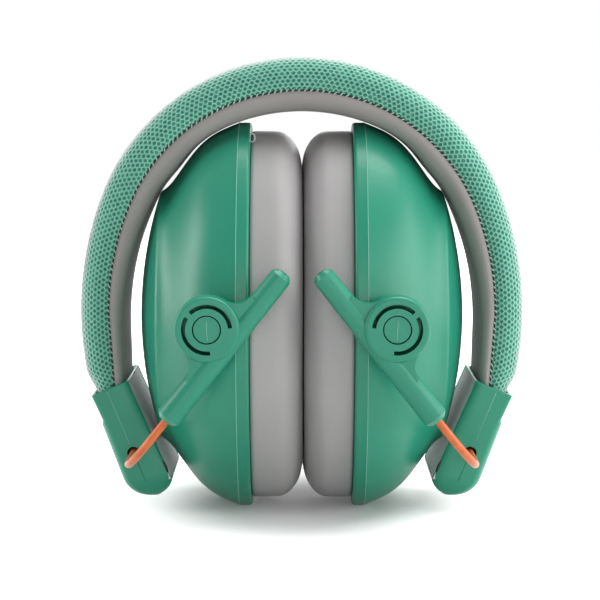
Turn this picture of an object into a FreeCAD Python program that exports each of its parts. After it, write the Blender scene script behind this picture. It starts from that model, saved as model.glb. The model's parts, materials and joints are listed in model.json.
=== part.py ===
import FreeCAD, Part
import math
import os
import re

import Sketcher

# Folding ear defender for a child, stored folded: both ear cups are turned up inside the
# padded headband, cushion against cushion.
# X runs from ear to ear, -Y is the front, +Z is up, and the origin is on the surface
# below the middle of the headband. All sizes are millimetres and degrees.
# The right side (+X) holds the master of each cup and end cap, the left side (-X) the
# master of each arm and wire bow, and the other side is its mirror image.

SIZES = {
    # headband: rails of tangent arcs from the crown down, the same on both sides
    "band_width": 31.0,
    "crown_gap": 3.3,
    "outer_crown_radius": 55.5,
    "widest_height": 51.8,
    "widest_across": 57.541,
    "limb_foot": 4.7,
    "lower_limb_radius": 83.53,
    "outer_end_radius": 10.0,
    "outer_end_sweep": 26.0,
    "crown_thickness": 13.5,
    "inner_crown_radius": 50.6,
    "inner_crown_sweep": 23.0,
    "inner_shoulder_radius": 37.0,
    "inner_shoulder_sweep": 41.2,
    "inner_limb_radius": 81.6,
    "seam_depth": 8.4,
    "seam_crown_radius": 48.2,
    "skin": 1.2,
    "cover_edge_radius": 3.6,
    "lining_edge_radius": 2.0,
    # steel strip that springs the headband
    "strip_depth": 6.8,
    "strip_crown_radius": 49.5,
    "strip_width": 18.0,
    "strip_thickness": 1.0,
    "strip_gap": 0.1,
    # end cap: its frame has its origin at the middle of the mouth, x outwards, z up
    "mouth_offset": 50.0,
    "mouth_height": 32.6,
    "cap_tilt": 22.5,
    "cap_side_wall": 1.1,
    "cap_length": 31.0,
    "cap_half_mouth": 5.05,
    "cap_inner_foot": 5.6,
    "cap_foot_rise": 2.1,
    "cap_outer_foot": 6.4,
    "cap_step_depth": 7.0,
    "cap_step_length": 1.4,
    "cap_step": 1.1,
    "cap_corner_radius": 7.4,
    "cap_wall": 1.2,
    "cap_edge_radius": 1.0,
    "mouth_taper": 0.25,
    "mouth_depth": 2.6,
    "pad_tuck": 1.6,
    "pad_end_half": 3.2,
    "pad_seam_end": 0.8,
    "pad_gap": 0.4,
    "slot_depth": 12.6,
    "slot_gap": 0.1,
    "peg_radius": 2.0,
    "peg_depth": 8.0,
    "plate_thickness": 1.4,
    "plate_gap": 0.1,
    "plate_side_wall": 0.9,
    "plate_top": 0.5,
    "plate_foot": 28.0,
    "notch_height": 23.5,
    "notch_length": 3.7,
    "notch_depth": 1.1,
    # wire bow: it turns in the cap, and its legs slide in the arms
    "pivot_depth": 18.0,
    "wire_radius": 1.0,
    "wire_bend_radius": 13.0,
    "wire_leg_end": 55.0,
    "wire_clearance": 0.1,
    "wire_mouth_radius": 1.65,
    "wire_mouth_depth": 2.5,
    # arm: its frame has x along the tube from the wire's pivot, z towards the ring
    "arm_angle": 51.5,
    "arm_start": 16.7,
    "arm_length": 46.4,
    "arm_clearance": 1.3,
    "ring_proud": 0.3,
    "tube_radius": 3.2,
    "tube_taper": 0.45,
    "tube_chamfer": 1.1,
    "ring_along": 24.1,
    "ring_offset": 6.2,
    "ring_radius": 8.1,
    "ring_edge_radius": 1.0,
    "web_radius": 5.0,
    "web_margin": 0.7,
    "slot_inner_radius": 5.2,
    "slot_outer_radius": 6.2,
    "slot_start": 97.0,
    "slot_end": 227.0,
    # ear cup: ovals of four arcs about the middle of the cup
    "cup_half_height": 50.9,
    "cup_half_width": 39.0,
    "cup_end_radius": 32.0,
    "foot_flat": 0.8,
    "rim_face": 13.2,
    "rim_thickness": 3.2,
    "rim_edge_radius": 0.8,
    "wall_depth": 20.8,
    "wall_taper": 0.355,
    "wall_lean": 0.45,
    "wall_skew": 1.8,
    "face_rise": 5.4,
    "face_edge_radius": 1.4,
    "cup_wall": 2.0,
    "boss_radius": 3.24,
    "boss_gap": 0.3,
    "boss_sink": 0.3,
    "land_radius": 6.5,
    "land_gap": 0.3,
    "recess_gap": 2.1,
    "recess_margin": 1.1,
    "lip_height": 2.0,
    "lip_thickness": 1.4,
    "lip_gap": 0.2,
    "ear_half_height": 31.0,
    "rim_lap": 3.0,
    "insert_gap": 0.3,
    # cushion
    "cushion_inset": 2.2,
    "cushion_face": 0.3,
    "cushion_back_gap": 0.3,
    "cushion_back_round": 1.4,
    "cushion_crown": 8.5,
    "cushion_inner_crown": 4.5,
    "ring_margin": 4.0,
    "ring_width": 11.5,
    "ring_thickness": 1.2,
    "ring_seat": 1.3,
    "ring_gap": 0.4,
    "cushion_skin": 0.9,
}

doc = FreeCAD.newDocument("ear_defender")
sheet = doc.addObject("Spreadsheet::Sheet", "Sizes")
for row, (name, value) in enumerate(SIZES.items(), start=1):
    sheet.set(f"A{row}", name)
    sheet.set(f"B{row}", str(value))
    sheet.setAlias(f"B{row}", name)
doc.recompute()

pieces = {}
TINY = 1e-4


def formula(text):
    """The text with the sheet's name put before each of its sizes."""
    return re.sub(r"[a-z_]{2,}", lambda word: in_sheet(word.group()), f"({text})")


def in_sheet(word):
    return f"Sizes.{word}" if word in SIZES else word


def value(text):
    return float(sheet.evalExpression(formula(text)))


def new_body(name):
    body = doc.addObject("PartDesign::Body", name)
    body.Label = name
    pieces[name] = body
    return body


def new_sketch(body, name, plane, lift="0", right="0", up="0"):
    """A sketch on one of the body's own planes, lifted along the plane's normal."""
    features = body.Origin.OriginFeatures
    support = [item for item in features if item.Role == plane][0]
    sketch = body.newObject("Sketcher::SketchObject", name)
    sketch.AttachmentSupport = [(support, "")]
    sketch.MapMode = "FlatFace"
    sketch.setExpression("AttachmentOffset.Base.x", formula(right))
    sketch.setExpression("AttachmentOffset.Base.y", formula(up))
    sketch.setExpression("AttachmentOffset.Base.z", formula(lift))
    return sketch


def set_size(sketch, constraint, text):
    index = sketch.addConstraint(constraint)
    sketch.setExpression(f"Constraints[{index}]", formula(text))


class Outline:
    """A closed outline of lines and arcs, each corner held by two formulas."""

    def __init__(self, across, up):
        self.corners = [(across, up)]
        self.edges = []

    def line(self, across, up):
        self.edges.append(None)
        self.corners.append((across, up))
        return self

    def arc(self, across, up, radius, clockwise):
        self.edges.append((radius, clockwise))
        self.corners.append((across, up))
        return self

    def close(self, radius=None, clockwise=True):
        self.edges.append(None if radius is None else (radius, clockwise))
        return self

    def draw(self, sketch):
        count = len(self.edges)
        corner_count = len(self.corners)
        points = [(value(across), value(up)) for across, up in self.corners]
        first = sketch.GeometryCount
        start_of = []
        for index, edge in enumerate(self.edges):
            start = points[index]
            end = points[(index + 1) % corner_count]
            if edge is None:
                sketch.addGeometry(segment(start, end), False)
                start_of.append((1, 2))
            else:
                radius, clockwise = edge
                sketch.addGeometry(short_arc(start, end, value(radius), clockwise), False)
                start_of.append((2, 1) if clockwise else (1, 2))
        for index in range(corner_count if corner_count == count else count - 1):
            after = (index + 1) % count
            sketch.addConstraint(
                Sketcher.Constraint(
                    "Coincident", first + index, start_of[index][1], first + after, start_of[after][0]
                )
            )
        for index, (across, up) in enumerate(self.corners):
            edge = min(index, count - 1)
            place = (-1, 1, first + edge, start_of[edge][index - edge])
            set_size(sketch, Sketcher.Constraint("DistanceX", *place, points[index][0]), across)
            set_size(sketch, Sketcher.Constraint("DistanceY", *place, points[index][1]), up)
        for index, edge in enumerate(self.edges):
            if edge is not None:
                radius = Sketcher.Constraint("Radius", first + index, value(edge[0]))
                set_size(sketch, radius, edge[0])
        return sketch


def segment(start, end):
    return Part.LineSegment(FreeCAD.Vector(*start, 0), FreeCAD.Vector(*end, 0))


def short_arc(start, end, radius, clockwise):
    """The arc of under a half circle from start to end."""
    low = FreeCAD.Vector(*start, 0)
    high = FreeCAD.Vector(*end, 0)
    chord = high - low
    left = FreeCAD.Vector(-chord.y, chord.x, 0).normalize()
    reach = math.sqrt(max(radius**2 - chord.Length**2 / 4, 0))
    side = -1 if clockwise else 1
    centre = (low + high) / 2 + left * reach * side
    angles = [math.atan2(point.y - centre.y, point.x - centre.x) for point in (low, high)]
    if clockwise:
        angles.reverse()
    return Part.ArcOfCircle(Part.Circle(centre, FreeCAD.Vector(0, 0, 1), radius), *angles)


def circle(sketch, across, up, radius):
    centre = FreeCAD.Vector(value(across), value(up), 0)
    index = sketch.addGeometry(Part.Circle(centre, FreeCAD.Vector(0, 0, 1), value(radius)), False)
    set_size(sketch, Sketcher.Constraint("DistanceX", -1, 1, index, 3, centre.x), across)
    set_size(sketch, Sketcher.Constraint("DistanceY", -1, 1, index, 3, centre.y), up)
    set_size(sketch, Sketcher.Constraint("Radius", index, value(radius)), radius)
    return sketch


def rectangle(sketch, left, bottom, right, top):
    outline = Outline(left, bottom).line(right, bottom).line(right, top).line(left, top)
    return outline.close().draw(sketch)


def oval_corner(half_height, half_width, end_radius):
    """Where an end's arc meets a side's, and the side's radius."""
    rise = f"(({half_height}) - ({end_radius}))"
    side = f"(({rise}^2 + ({half_width})^2 - ({end_radius})^2) / (2 * (({half_width}) - ({end_radius}))))"
    across = f"(({end_radius}) * ({side} - ({half_width})) / ({side} - ({end_radius})))"
    up = f"({rise} * {side} / ({side} - ({end_radius})))"
    return across, up, side


def oval(sketch, half_height, half_width, end_radius):
    """Four tangent arcs, each under a half circle: two ends and two flatter sides."""
    across, up, side = oval_corner(half_height, half_width, end_radius)
    outline = Outline(f"-{across}", up).arc(across, up, end_radius, True)
    outline.arc(across, f"-{up}", side, True).arc(f"-{across}", f"-{up}", end_radius, True)
    return outline.close(side, True).draw(sketch)


def extrude(body, kind, sketch, length, midplane=True, backwards=False):
    feature = body.newObject(f"PartDesign::{kind}", f"{sketch.Name}_{kind.lower()}")
    feature.Profile = sketch
    feature.setExpression("Length", formula(length))
    feature.Midplane = midplane
    feature.Reversed = backwards
    doc.recompute()
    return feature


def revolve(body, sketch, axis):
    feature = body.newObject("PartDesign::Revolution", f"{sketch.Name}_revolution")
    feature.Profile = sketch
    feature.ReferenceAxis = (sketch, [axis])
    feature.Angle = 360
    doc.recompute()
    return feature


def loft(body, kind, sketches):
    feature = body.newObject(f"PartDesign::{kind}Loft", f"{sketches[0].Name}_{kind.lower()}")
    feature.Profile = sketches[0]
    feature.Sections = sketches[1:]
    doc.recompute()
    return feature


def round_edges(body, feature, radius, wanted):
    """Rounds the feature's edges whose middle point satisfies the test."""
    names = []
    for index, edge in enumerate(feature.Shape.Edges, start=1):
        middle = edge.valueAt((edge.FirstParameter + edge.LastParameter) / 2)
        if wanted(middle, edge):
            names.append(f"Edge{index}")
    fillet = body.newObject("PartDesign::Fillet", f"{feature.Name}_fillet")
    fillet.Base = (feature, names)
    fillet.setExpression("Radius", formula(radius))
    doc.recompute()
    return fillet


def mirror_body(body, feature):
    """Adds the mirror image of one half of a symmetric piece."""
    mirrored = body.newObject("PartDesign::Mirrored", f"{feature.Name}_mirrored")
    mirrored.Originals = [feature]
    features = body.Origin.OriginFeatures
    mirrored.MirrorPlane = ([item for item in features if item.Role == "YZ_Plane"][0], [""])
    body.Tip = mirrored
    doc.recompute()
    return mirrored


def mirror_piece(master, name, normal):
    copy = doc.addObject("Part::Mirroring", name)
    copy.Label = name
    copy.Source = master
    copy.Normal = normal
    pieces[name] = copy
    return copy


# Rails of the headband

CROWN_HEIGHT = "(2 * cup_half_height - foot_flat + crown_gap + crown_thickness)"
CROWN_DROP = f"({CROWN_HEIGHT} - outer_crown_radius - widest_height)"
CROWN_SWEEP = f"(90 - 2 * atan((widest_across - outer_crown_radius) / {CROWN_DROP}) / 1 deg)"


class Rail:
    """Half of a curve over the head: it starts level at the crown and turns downwards."""

    def __init__(self, height):
        self.across = ["0"]
        self.up = [height]
        self.turns = ["0"]
        self.moves = []

    def arc(self, radius, sweep):
        before = self.turns[-1]
        after = f"{before} + {sweep}"
        self.across.append(f"{self.across[-1]} + ({radius}) * (sin({after}) - sin({before}))")
        self.up.append(f"{self.up[-1]} + ({radius}) * (cos({after}) - cos({before}))")
        self.turns.append(after)
        self.moves.append(radius)
        return self

    def to(self, across, up):
        self.across.append(across)
        self.up.append(up)
        self.moves.append(None)
        return self

    def down(self, outline):
        for across, up, radius in zip(self.across[1:], self.up[1:], self.moves):
            if radius is None:
                outline.line(across, up)
            else:
                outline.arc(across, up, radius, True)
        return outline

    def back_up(self, outline):
        """Follows the rail from its lower end to the crown. The outline is at the lower end."""
        starts = list(zip(self.across, self.up, self.moves))[::-1]
        for across, up, radius in starts:
            if radius is None:
                outline.line(across, up)
            else:
                outline.arc(across, up, radius, False)
        return outline


def in_cap(outwards, down):
    """A point of the right end cap's frame, as two formulas."""
    across = f"mouth_offset + ({outwards}) * cos(cap_tilt) - ({down}) * sin(cap_tilt)"
    up = f"mouth_height - ({outwards}) * sin(cap_tilt) - ({down}) * cos(cap_tilt)"
    return across, up


def limb_radius(crown_centre, crown_radius):
    """The radius that brings a rail to its widest at the widest height."""
    return f"({crown_radius} + ({crown_centre} - widest_height) / cos({CROWN_SWEEP}))"


def outer_rail(inset):
    limb = limb_radius(f"({CROWN_HEIGHT} - outer_crown_radius)", "outer_crown_radius")
    lower = "asin((widest_height - mouth_height - limb_foot) / lower_limb_radius) / 1 deg"
    rail = Rail(f"{CROWN_HEIGHT} - {inset}")
    rail.arc(f"outer_crown_radius - {inset}", CROWN_SWEEP)
    rail.arc(f"{limb} - {inset}", f"90 - {CROWN_SWEEP}")
    rail.arc(f"lower_limb_radius - {inset}", lower)
    rail.arc(f"outer_end_radius - {inset}", "outer_end_sweep")
    return rail.to(*in_cap(f"pad_end_half - {inset}", "pad_tuck"))


def inner_rail(outset):
    rail = Rail(f"{CROWN_HEIGHT} - crown_thickness + {outset}")
    rail.arc(f"inner_crown_radius + {outset}", "inner_crown_sweep")
    rail.arc(f"inner_shoulder_radius + {outset}", "inner_shoulder_sweep")
    rail.arc(f"inner_limb_radius + {outset}", "90 - inner_crown_sweep - inner_shoulder_sweep")
    return rail.to(*in_cap(f"{outset} - pad_end_half", "pad_tuck"))


def seam_rail():
    limb = limb_radius(f"({CROWN_HEIGHT} - seam_depth - seam_crown_radius)", "seam_crown_radius")
    rail = Rail(f"{CROWN_HEIGHT} - seam_depth")
    rail.arc("seam_crown_radius", CROWN_SWEEP)
    rail.arc(limb, f"90 - {CROWN_SWEEP}")
    return rail.to(*in_cap("-pad_seam_end", "pad_tuck"))


def strip_rail(outset, end):
    """A face of the steel strip: down the limb, bent into the cap's axis, and into its slot."""
    limb = limb_radius(f"({CROWN_HEIGHT} - strip_depth - strip_crown_radius)", "strip_crown_radius")
    limb_place = f"(strip_crown_radius * sin({CROWN_SWEEP}) + {limb} * (1 - sin({CROWN_SWEEP})))"
    reach = f"(({limb_place} - mouth_offset) / sin(cap_tilt))"
    rail = Rail(f"{CROWN_HEIGHT} - strip_depth + {outset}")
    rail.arc(f"strip_crown_radius + {outset}", CROWN_SWEEP)
    rail.arc(f"{limb} + {outset}", f"90 - {CROWN_SWEEP}")
    rail.to(f"{limb_place} + {outset}", f"mouth_height + {reach} * (1 + cos(cap_tilt))")
    rail.arc(f"{reach} / tan(cap_tilt / 2) + {outset}", "cap_tilt")
    return rail.to(*in_cap(outset, end))


def band_body(name, outside, inside, width):
    """A layer of the headband between two rails: half of it, and its mirror image."""
    body = new_body(name)
    outline = outside.down(Outline(outside.across[0], outside.up[0]))
    outline.line(inside.across[-1], inside.up[-1])
    inside.back_up(outline).close()
    half = extrude(body, "Pad", outline.draw(new_sketch(body, f"{name}_half", "XZ_Plane")), width)
    return body, mirror_body(body, half)


def along(rail, width):
    """A test for the edges that run along a rail on the band's two sides."""
    corners = [(value(across), value(up)) for across, up in zip(rail.across, rail.up)]

    def on_rail(vertex):
        return any(math.dist((abs(vertex.X), vertex.Z), corner) < TINY for corner in corners)

    def wanted(middle, edge):
        return abs(abs(middle.y) - value(width) / 2) < TINY and all(map(on_rail, edge.Vertexes))

    return wanted


def cut(name, base, tool):
    piece = doc.addObject("Part::Cut", name)
    piece.Base = base
    piece.Tool = tool
    piece.Label = name
    pieces[name] = piece
    return piece


def tool_only(body):
    """A form that is used to shape other pieces and isn't a piece itself."""
    del pieces[body.Name]
    return body


# Headband: knitted cover and smooth lining, foam, and the steel strip inside


def headband():
    foam_width = "band_width - 2 * skin"
    core, solid = band_body("band_core", outer_rail("skin"), inner_rail("skin"), foam_width)
    outer_edge = round_edges(
        core, solid, "cover_edge_radius - skin", along(outer_rail("skin"), foam_width)
    )
    round_edges(core, outer_edge, "lining_edge_radius - skin", along(inner_rail("skin"), foam_width))
    tool_only(core)

    cover, solid = band_body("cover_form", outer_rail("0"), seam_rail(), "band_width")
    round_edges(cover, solid, "cover_edge_radius", along(outer_rail("0"), "band_width"))
    tool_only(cover)
    cut("headband_cover", cover, core)

    lining, solid = band_body("lining_form", seam_rail(), inner_rail("0"), "band_width")
    round_edges(lining, solid, "lining_edge_radius", along(inner_rail("0"), "band_width"))
    tool_only(lining)
    cut("headband_lining", lining, core)

    half = "strip_thickness / 2"
    slot_half = f"({half} + strip_gap)"
    slot, solid = band_body(
        "strip_slot",
        strip_rail(slot_half, "pad_tuck + 1"),
        strip_rail(f"-{slot_half}", "pad_tuck + 1"),
        "strip_width + 2 * strip_gap",
    )
    tool_only(slot)
    cut("headband_foam", core, slot)

    end = "slot_depth - slot_gap"
    strip, solid = band_body(
        "headband_spring", strip_rail(half, end), strip_rail(f"-({half})", end), "strip_width"
    )
    for side in (1, -1):
        across, up = in_cap("0", "peg_depth")
        hole = new_sketch(strip, "peg_hole", "YZ_Plane", lift=f"{side} * ({across})", up=up)
        hole.AttachmentOffset.Rotation.Axis = FreeCAD.Vector(1, 0, 0)
        hole.setExpression("AttachmentOffset.Rotation.Angle", formula(f"{side} * cap_tilt"))
        circle(hole, "0", "0", "peg_radius + slot_gap")
        extrude(strip, "Pocket", hole, "4 * strip_thickness")
    return strip


# End caps: outer shell, inner shell, and the textured plate let into it


def place_in_cap(body):
    body.setExpression("Placement.Base.x", formula("mouth_offset"))
    body.setExpression("Placement.Base.z", formula("mouth_height"))
    body.Placement.Rotation.Axis = FreeCAD.Vector(0, 1, 0)
    body.setExpression("Placement.Rotation.Angle", formula("cap_tilt"))
    return body


CAP_PARTING = "(strip_thickness / 2 + slot_gap)"
CAP_WIDTH = "(band_width + 2 * (pad_gap + cap_side_wall))"
CORNER_MIDDLE = "(cap_outer_foot - cap_corner_radius)"
PARTING_DEPTH = (
    f"(cap_length - cap_corner_radius + sqrt(cap_corner_radius^2 - ({CAP_PARTING} - {CORNER_MIDDLE})^2))"
)
FOOT_REACH = f"(cap_inner_foot + {CORNER_MIDDLE})"
FOOT_RADIUS = f"(({FOOT_REACH}^2 + cap_foot_rise^2) / (2 * cap_foot_rise))"


def inner_face(depth):
    """How far the cap's inner face is from its axis at a depth below the mouth."""
    slope = "(cap_inner_foot - cap_half_mouth) / (cap_length - cap_foot_rise)"
    return f"(cap_half_mouth + {slope} * ({depth}))"


def wire_bore(body):
    bore = circle(
        new_sketch(body, "wire_bore", "XZ_Plane"),
        CAP_PARTING,
        "-pivot_depth",
        "wire_radius + wire_clearance",
    )
    extrude(body, "Pocket", bore, f"{CAP_WIDTH} + 2")
    for side in (1, -1):
        mouth = new_sketch(body, "wire_mouth", "XZ_Plane", lift=f"{side} * {CAP_WIDTH} / 2")
        circle(mouth, CAP_PARTING, "-pivot_depth", "wire_mouth_radius")
        extrude(body, "Pocket", mouth, "wire_mouth_depth", midplane=False, backwards=side < 0)


def cap_outer():
    body = place_in_cap(new_body("right_cap_outer"))
    step = "cap_step_depth"
    outline = Outline(CAP_PARTING, "0").line("cap_half_mouth", "0")
    outline.line("cap_half_mouth - mouth_taper", f"-{step}")
    outline.line("cap_half_mouth - mouth_taper + cap_step", f"-({step} + cap_step_length)")
    outline.line("cap_outer_foot", "-(cap_length - cap_corner_radius)")
    outline.arc(CAP_PARTING, f"-{PARTING_DEPTH}", "cap_corner_radius", True).close()
    shell = extrude(body, "Pad", outline.draw(new_sketch(body, "outer_half", "XZ_Plane")), CAP_WIDTH)
    half_width = value(CAP_WIDTH) / 2
    round_edges(
        body,
        shell,
        "cap_edge_radius",
        lambda middle, edge: abs(abs(middle.y) - half_width) < TINY
        and middle.x > value(CAP_PARTING) + TINY
        and middle.z < -TINY,
    )
    cavity = new_sketch(body, "mouth", "XZ_Plane")
    rectangle(cavity, f"{CAP_PARTING} - 1", "-mouth_depth", "cap_half_mouth - cap_wall", "1")
    extrude(body, "Pocket", cavity, "band_width + 2 * pad_gap")
    wire_bore(body)
    return body


def cap_inner():
    body = place_in_cap(new_body("right_cap_inner"))
    outline = Outline("-cap_half_mouth", "0").line(CAP_PARTING, "0")
    outline.line(CAP_PARTING, f"-{PARTING_DEPTH}")
    outline.arc(CORNER_MIDDLE, "-cap_length", "cap_corner_radius", True)
    outline.arc("-cap_inner_foot", "-(cap_length - cap_foot_rise)", FOOT_RADIUS, True).close()
    extrude(body, "Pad", outline.draw(new_sketch(body, "inner_half", "XZ_Plane")), CAP_WIDTH)

    recess = new_sketch(body, "plate_recess", "XZ_Plane")
    plate_outline("plate_thickness", "plate_gap", "1").draw(recess)
    extrude(body, "Pocket", recess, f"{CAP_WIDTH} - 2 * plate_side_wall")
    cavity = new_sketch(body, "mouth", "XZ_Plane")
    rectangle(cavity, "-(cap_half_mouth - cap_wall)", "-mouth_depth", f"{CAP_PARTING} + 1", "1")
    extrude(body, "Pocket", cavity, "band_width + 2 * pad_gap")
    slot = new_sketch(body, "strip_slot", "XZ_Plane")
    rectangle(slot, f"-{CAP_PARTING}", "-slot_depth", f"{CAP_PARTING} + 1", "1")
    extrude(body, "Pocket", slot, "strip_width + 2 * slot_gap")
    peg = new_sketch(body, "strip_peg", "YZ_Plane", lift=f"-{CAP_PARTING}", up="-peg_depth")
    circle(peg, "0", "0", "peg_radius")
    extrude(body, "Pad", peg, f"2 * {CAP_PARTING}", midplane=False)
    wire_bore(body)
    return body


def plate_outline(thickness, gap, proud):
    """The plate's side view, or with a gap all round it the recess that it lies in."""
    top = f"(plate_top - ({gap}))"
    foot = f"(plate_foot + ({gap}))"
    outline = Outline(f"-({inner_face(top)} + {proud})", f"-{top}")
    outline.line(f"-({inner_face(top)} - {thickness})", f"-{top}")
    outline.line(f"-({inner_face(foot)} - {thickness})", f"-{foot}")
    return outline.line(f"-({inner_face(foot)} + {proud})", f"-{foot}").close()


def cap_plate():
    body = place_in_cap(new_body("right_cap_plate"))
    side = new_sketch(body, "plate", "XZ_Plane")
    plate_outline("plate_thickness", "0", "0").draw(side)
    plate_width = f"({CAP_WIDTH} - 2 * (plate_side_wall + plate_gap))"
    extrude(body, "Pad", side, plate_width)
    for edge in (1, -1):
        notch = new_sketch(body, "snap_notch", "YZ_Plane", lift="-cap_half_mouth")
        near = f"{edge} * ({plate_width} / 2 - notch_depth)"
        far = f"{edge} * ({plate_width} / 2 + 1)"
        low = "-(notch_height + notch_length / 2)"
        high = "-(notch_height - notch_length / 2)"
        rectangle(notch, near, low, far, high)
        extrude(body, "Pocket", notch, "6 * plate_thickness")
    return body


# Wire bows: each turns in its end cap and slides in its two arms

PIVOT_ACROSS, PIVOT_UP = in_cap(CAP_PARTING, "pivot_depth")
ARM_BACK = "(cup_half_width + arm_clearance)"
ARM_PLANE = f"({ARM_BACK} + tube_radius)"
ARM_FRONT = f"({ARM_PLANE} + tube_radius + ring_proud)"
TIP_RADIUS = "(tube_radius - tube_taper)"


def place_on_wire(body):
    """The frame has its origin at the left pivot, x along the arms, y across, z to the rings."""
    body.setExpression("Placement.Base.x", formula(f"-({PIVOT_ACROSS})"))
    body.setExpression("Placement.Base.z", formula(PIVOT_UP))
    body.Placement.Rotation.Axis = FreeCAD.Vector(0, 1, 0)
    body.setExpression("Placement.Rotation.Angle", formula("-arm_angle"))
    return body


def wire():
    body = place_on_wire(new_body("left_wire"))
    path = Outline("wire_leg_end", f"-{ARM_PLANE}").line("wire_bend_radius", f"-{ARM_PLANE}")
    path.arc("0", f"wire_bend_radius - {ARM_PLANE}", "wire_bend_radius", True)
    path.line("0", f"{ARM_PLANE} - wire_bend_radius")
    path.arc("wire_bend_radius", ARM_PLANE, "wire_bend_radius", True)
    path.line("wire_leg_end", ARM_PLANE)
    spine = path.draw(new_sketch(body, "bow", "XY_Plane"))
    section = new_sketch(body, "wire_section", "YZ_Plane", lift="wire_leg_end")
    circle(section, f"-{ARM_PLANE}", "0", "wire_radius")
    doc.recompute()
    pipe = body.newObject("PartDesign::AdditivePipe", "bent_wire")
    pipe.Profile = section
    pipe.Spine = (spine, [f"Edge{index}" for index in range(1, len(path.edges) + 1)])
    doc.recompute()
    return body


# Arms: a tube for the wire's leg, and the ring that snaps on the ear cup's button


def arm():
    body = place_on_wire(new_body("left_arm_front"))
    tube = new_sketch(body, "tube", "XY_Plane", up=f"-{ARM_PLANE}")
    tube_end = "(arm_start + arm_length)"
    outline = Outline("arm_start", "0").line("arm_start", "tube_radius - tube_chamfer")
    outline.line("arm_start + tube_chamfer", "tube_radius")
    outline.line(f"{tube_end} - tube_chamfer", TIP_RADIUS)
    outline.line(tube_end, f"{TIP_RADIUS} - tube_chamfer").line(tube_end, "0").close()
    revolve(body, outline.draw(tube), "H_Axis")

    ring_place = "(arm_start + ring_along)"
    disc = new_sketch(body, "disc", "XY_Plane", lift="ring_offset", right=ring_place)
    back_edge = "(ring_edge_radius / 2)"
    outline = Outline("0", f"-{ARM_BACK}").line("0", f"-{ARM_FRONT}")
    outline.line("ring_radius - ring_edge_radius", f"-{ARM_FRONT}")
    outline.arc("ring_radius", f"ring_edge_radius - {ARM_FRONT}", "ring_edge_radius", False)
    outline.line("ring_radius", f"-{ARM_BACK} - {back_edge}")
    outline.arc(f"ring_radius - {back_edge}", f"-{ARM_BACK}", back_edge, False).close()
    revolve(body, outline.draw(disc), "V_Axis")

    reach = "(ring_radius + web_radius)"
    rise = f"({TIP_RADIUS} + web_radius - ring_offset)"
    run = f"sqrt({reach}^2 - {rise}^2)"
    touch_across = f"({run} * ring_radius / {reach})"
    touch_up = f"(ring_offset + {rise} * ring_radius / {reach})"
    web = new_sketch(body, "web", "XZ_Plane", lift=ARM_PLANE)
    outline = Outline(f"{ring_place} - {run}", "0")
    outline.line(f"{ring_place} - {run}", TIP_RADIUS)
    outline.arc(f"{ring_place} - {touch_across}", touch_up, "web_radius", False)
    outline.line(f"{ring_place} + {touch_across}", touch_up)
    outline.arc(f"{ring_place} + {run}", TIP_RADIUS, "web_radius", False)
    outline.line(f"{ring_place} + {run}", "0").close()
    extrude(body, "Pad", outline.draw(web), f"2 * {TIP_RADIUS} - web_margin")

    hole = circle(
        new_sketch(body, "button_hole", "XZ_Plane", lift=ARM_PLANE),
        ring_place,
        "ring_offset",
        "boss_radius + boss_gap",
    )
    extrude(body, "Pocket", hole, "4 * tube_radius")
    for start in ("slot_start", "(180 - slot_end)"):
        slot = new_sketch(body, "snap_slot", "XZ_Plane", lift=ARM_PLANE)
        arc_slot(slot, ring_place, "ring_offset", start)
        extrude(body, "Pocket", slot, "4 * tube_radius")
    bore = new_sketch(body, "bore", "YZ_Plane", lift="arm_start + arm_length / 2")
    circle(bore, f"-{ARM_PLANE}", "0", "wire_radius + wire_clearance")
    extrude(body, "Pocket", bore, "arm_length + 2")
    return body


def arc_slot(sketch, across, up, start):
    end = f"({start} + slot_end - slot_start)"

    def point(radius, angle):
        return f"{across} + {radius} * cos({angle})", f"{up} + {radius} * sin({angle})"

    outline = Outline(*point("slot_inner_radius", start))
    outline.arc(*point("slot_inner_radius", end), "slot_inner_radius", False)
    outline.line(*point("slot_outer_radius", end))
    outline.arc(*point("slot_outer_radius", start), "slot_outer_radius", True)
    return outline.close().draw(sketch)


# Ear cups: each piece is built about the middle of its cup


def place_in_cup(body):
    body.setExpression("Placement.Base.z", formula("cup_half_height - foot_flat"))
    return body


def cup_sizes(inset, scale="1"):
    """The sizes of the cup's oval, moved in by a distance and then scaled."""
    return [f"({scale}) * ({size} - ({inset}))" for size in CUP_SIZES]


def cup_oval(body, name, lift, inset, scale="1"):
    return oval(new_sketch(body, name, "YZ_Plane", lift=lift), *cup_sizes(inset, scale))


def wall_scale(share):
    """How large the side wall's outline is at a share of its depth: it bulges, then hollows."""
    swell = f"(1 - cos(180 * ({share})^wall_skew)) / 2"
    return f"(1 - wall_taper * (wall_lean * {share} + (1 - wall_lean) * {swell}))"


def wall_ovals(body, inset, steps):
    """Ovals of the side wall, or with an inset those of what lies inside it."""
    ovals = []
    for step in steps:
        share = f"({step} / {WALL_STEPS})"
        lift = f"{SHELL_BASE} + (wall_depth - ({inset})) * {share}"
        ovals.append(cup_oval(body, f"wall_oval_{step}", lift, inset, wall_scale(share)))
    return ovals


def face_ovals(body, inset):
    """Ovals of the bulging outer face, from the wall's end nearly to its middle."""
    ovals = []
    for share in FACE_SHARES:
        lift = f"{SHELL_BASE} + wall_depth - ({inset}) + face_rise * (1 - {share}^2)"
        ovals.append(cup_oval(body, "face_oval", lift, inset, f"{share} * {FACE_SCALE}"))
    return ovals


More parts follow.
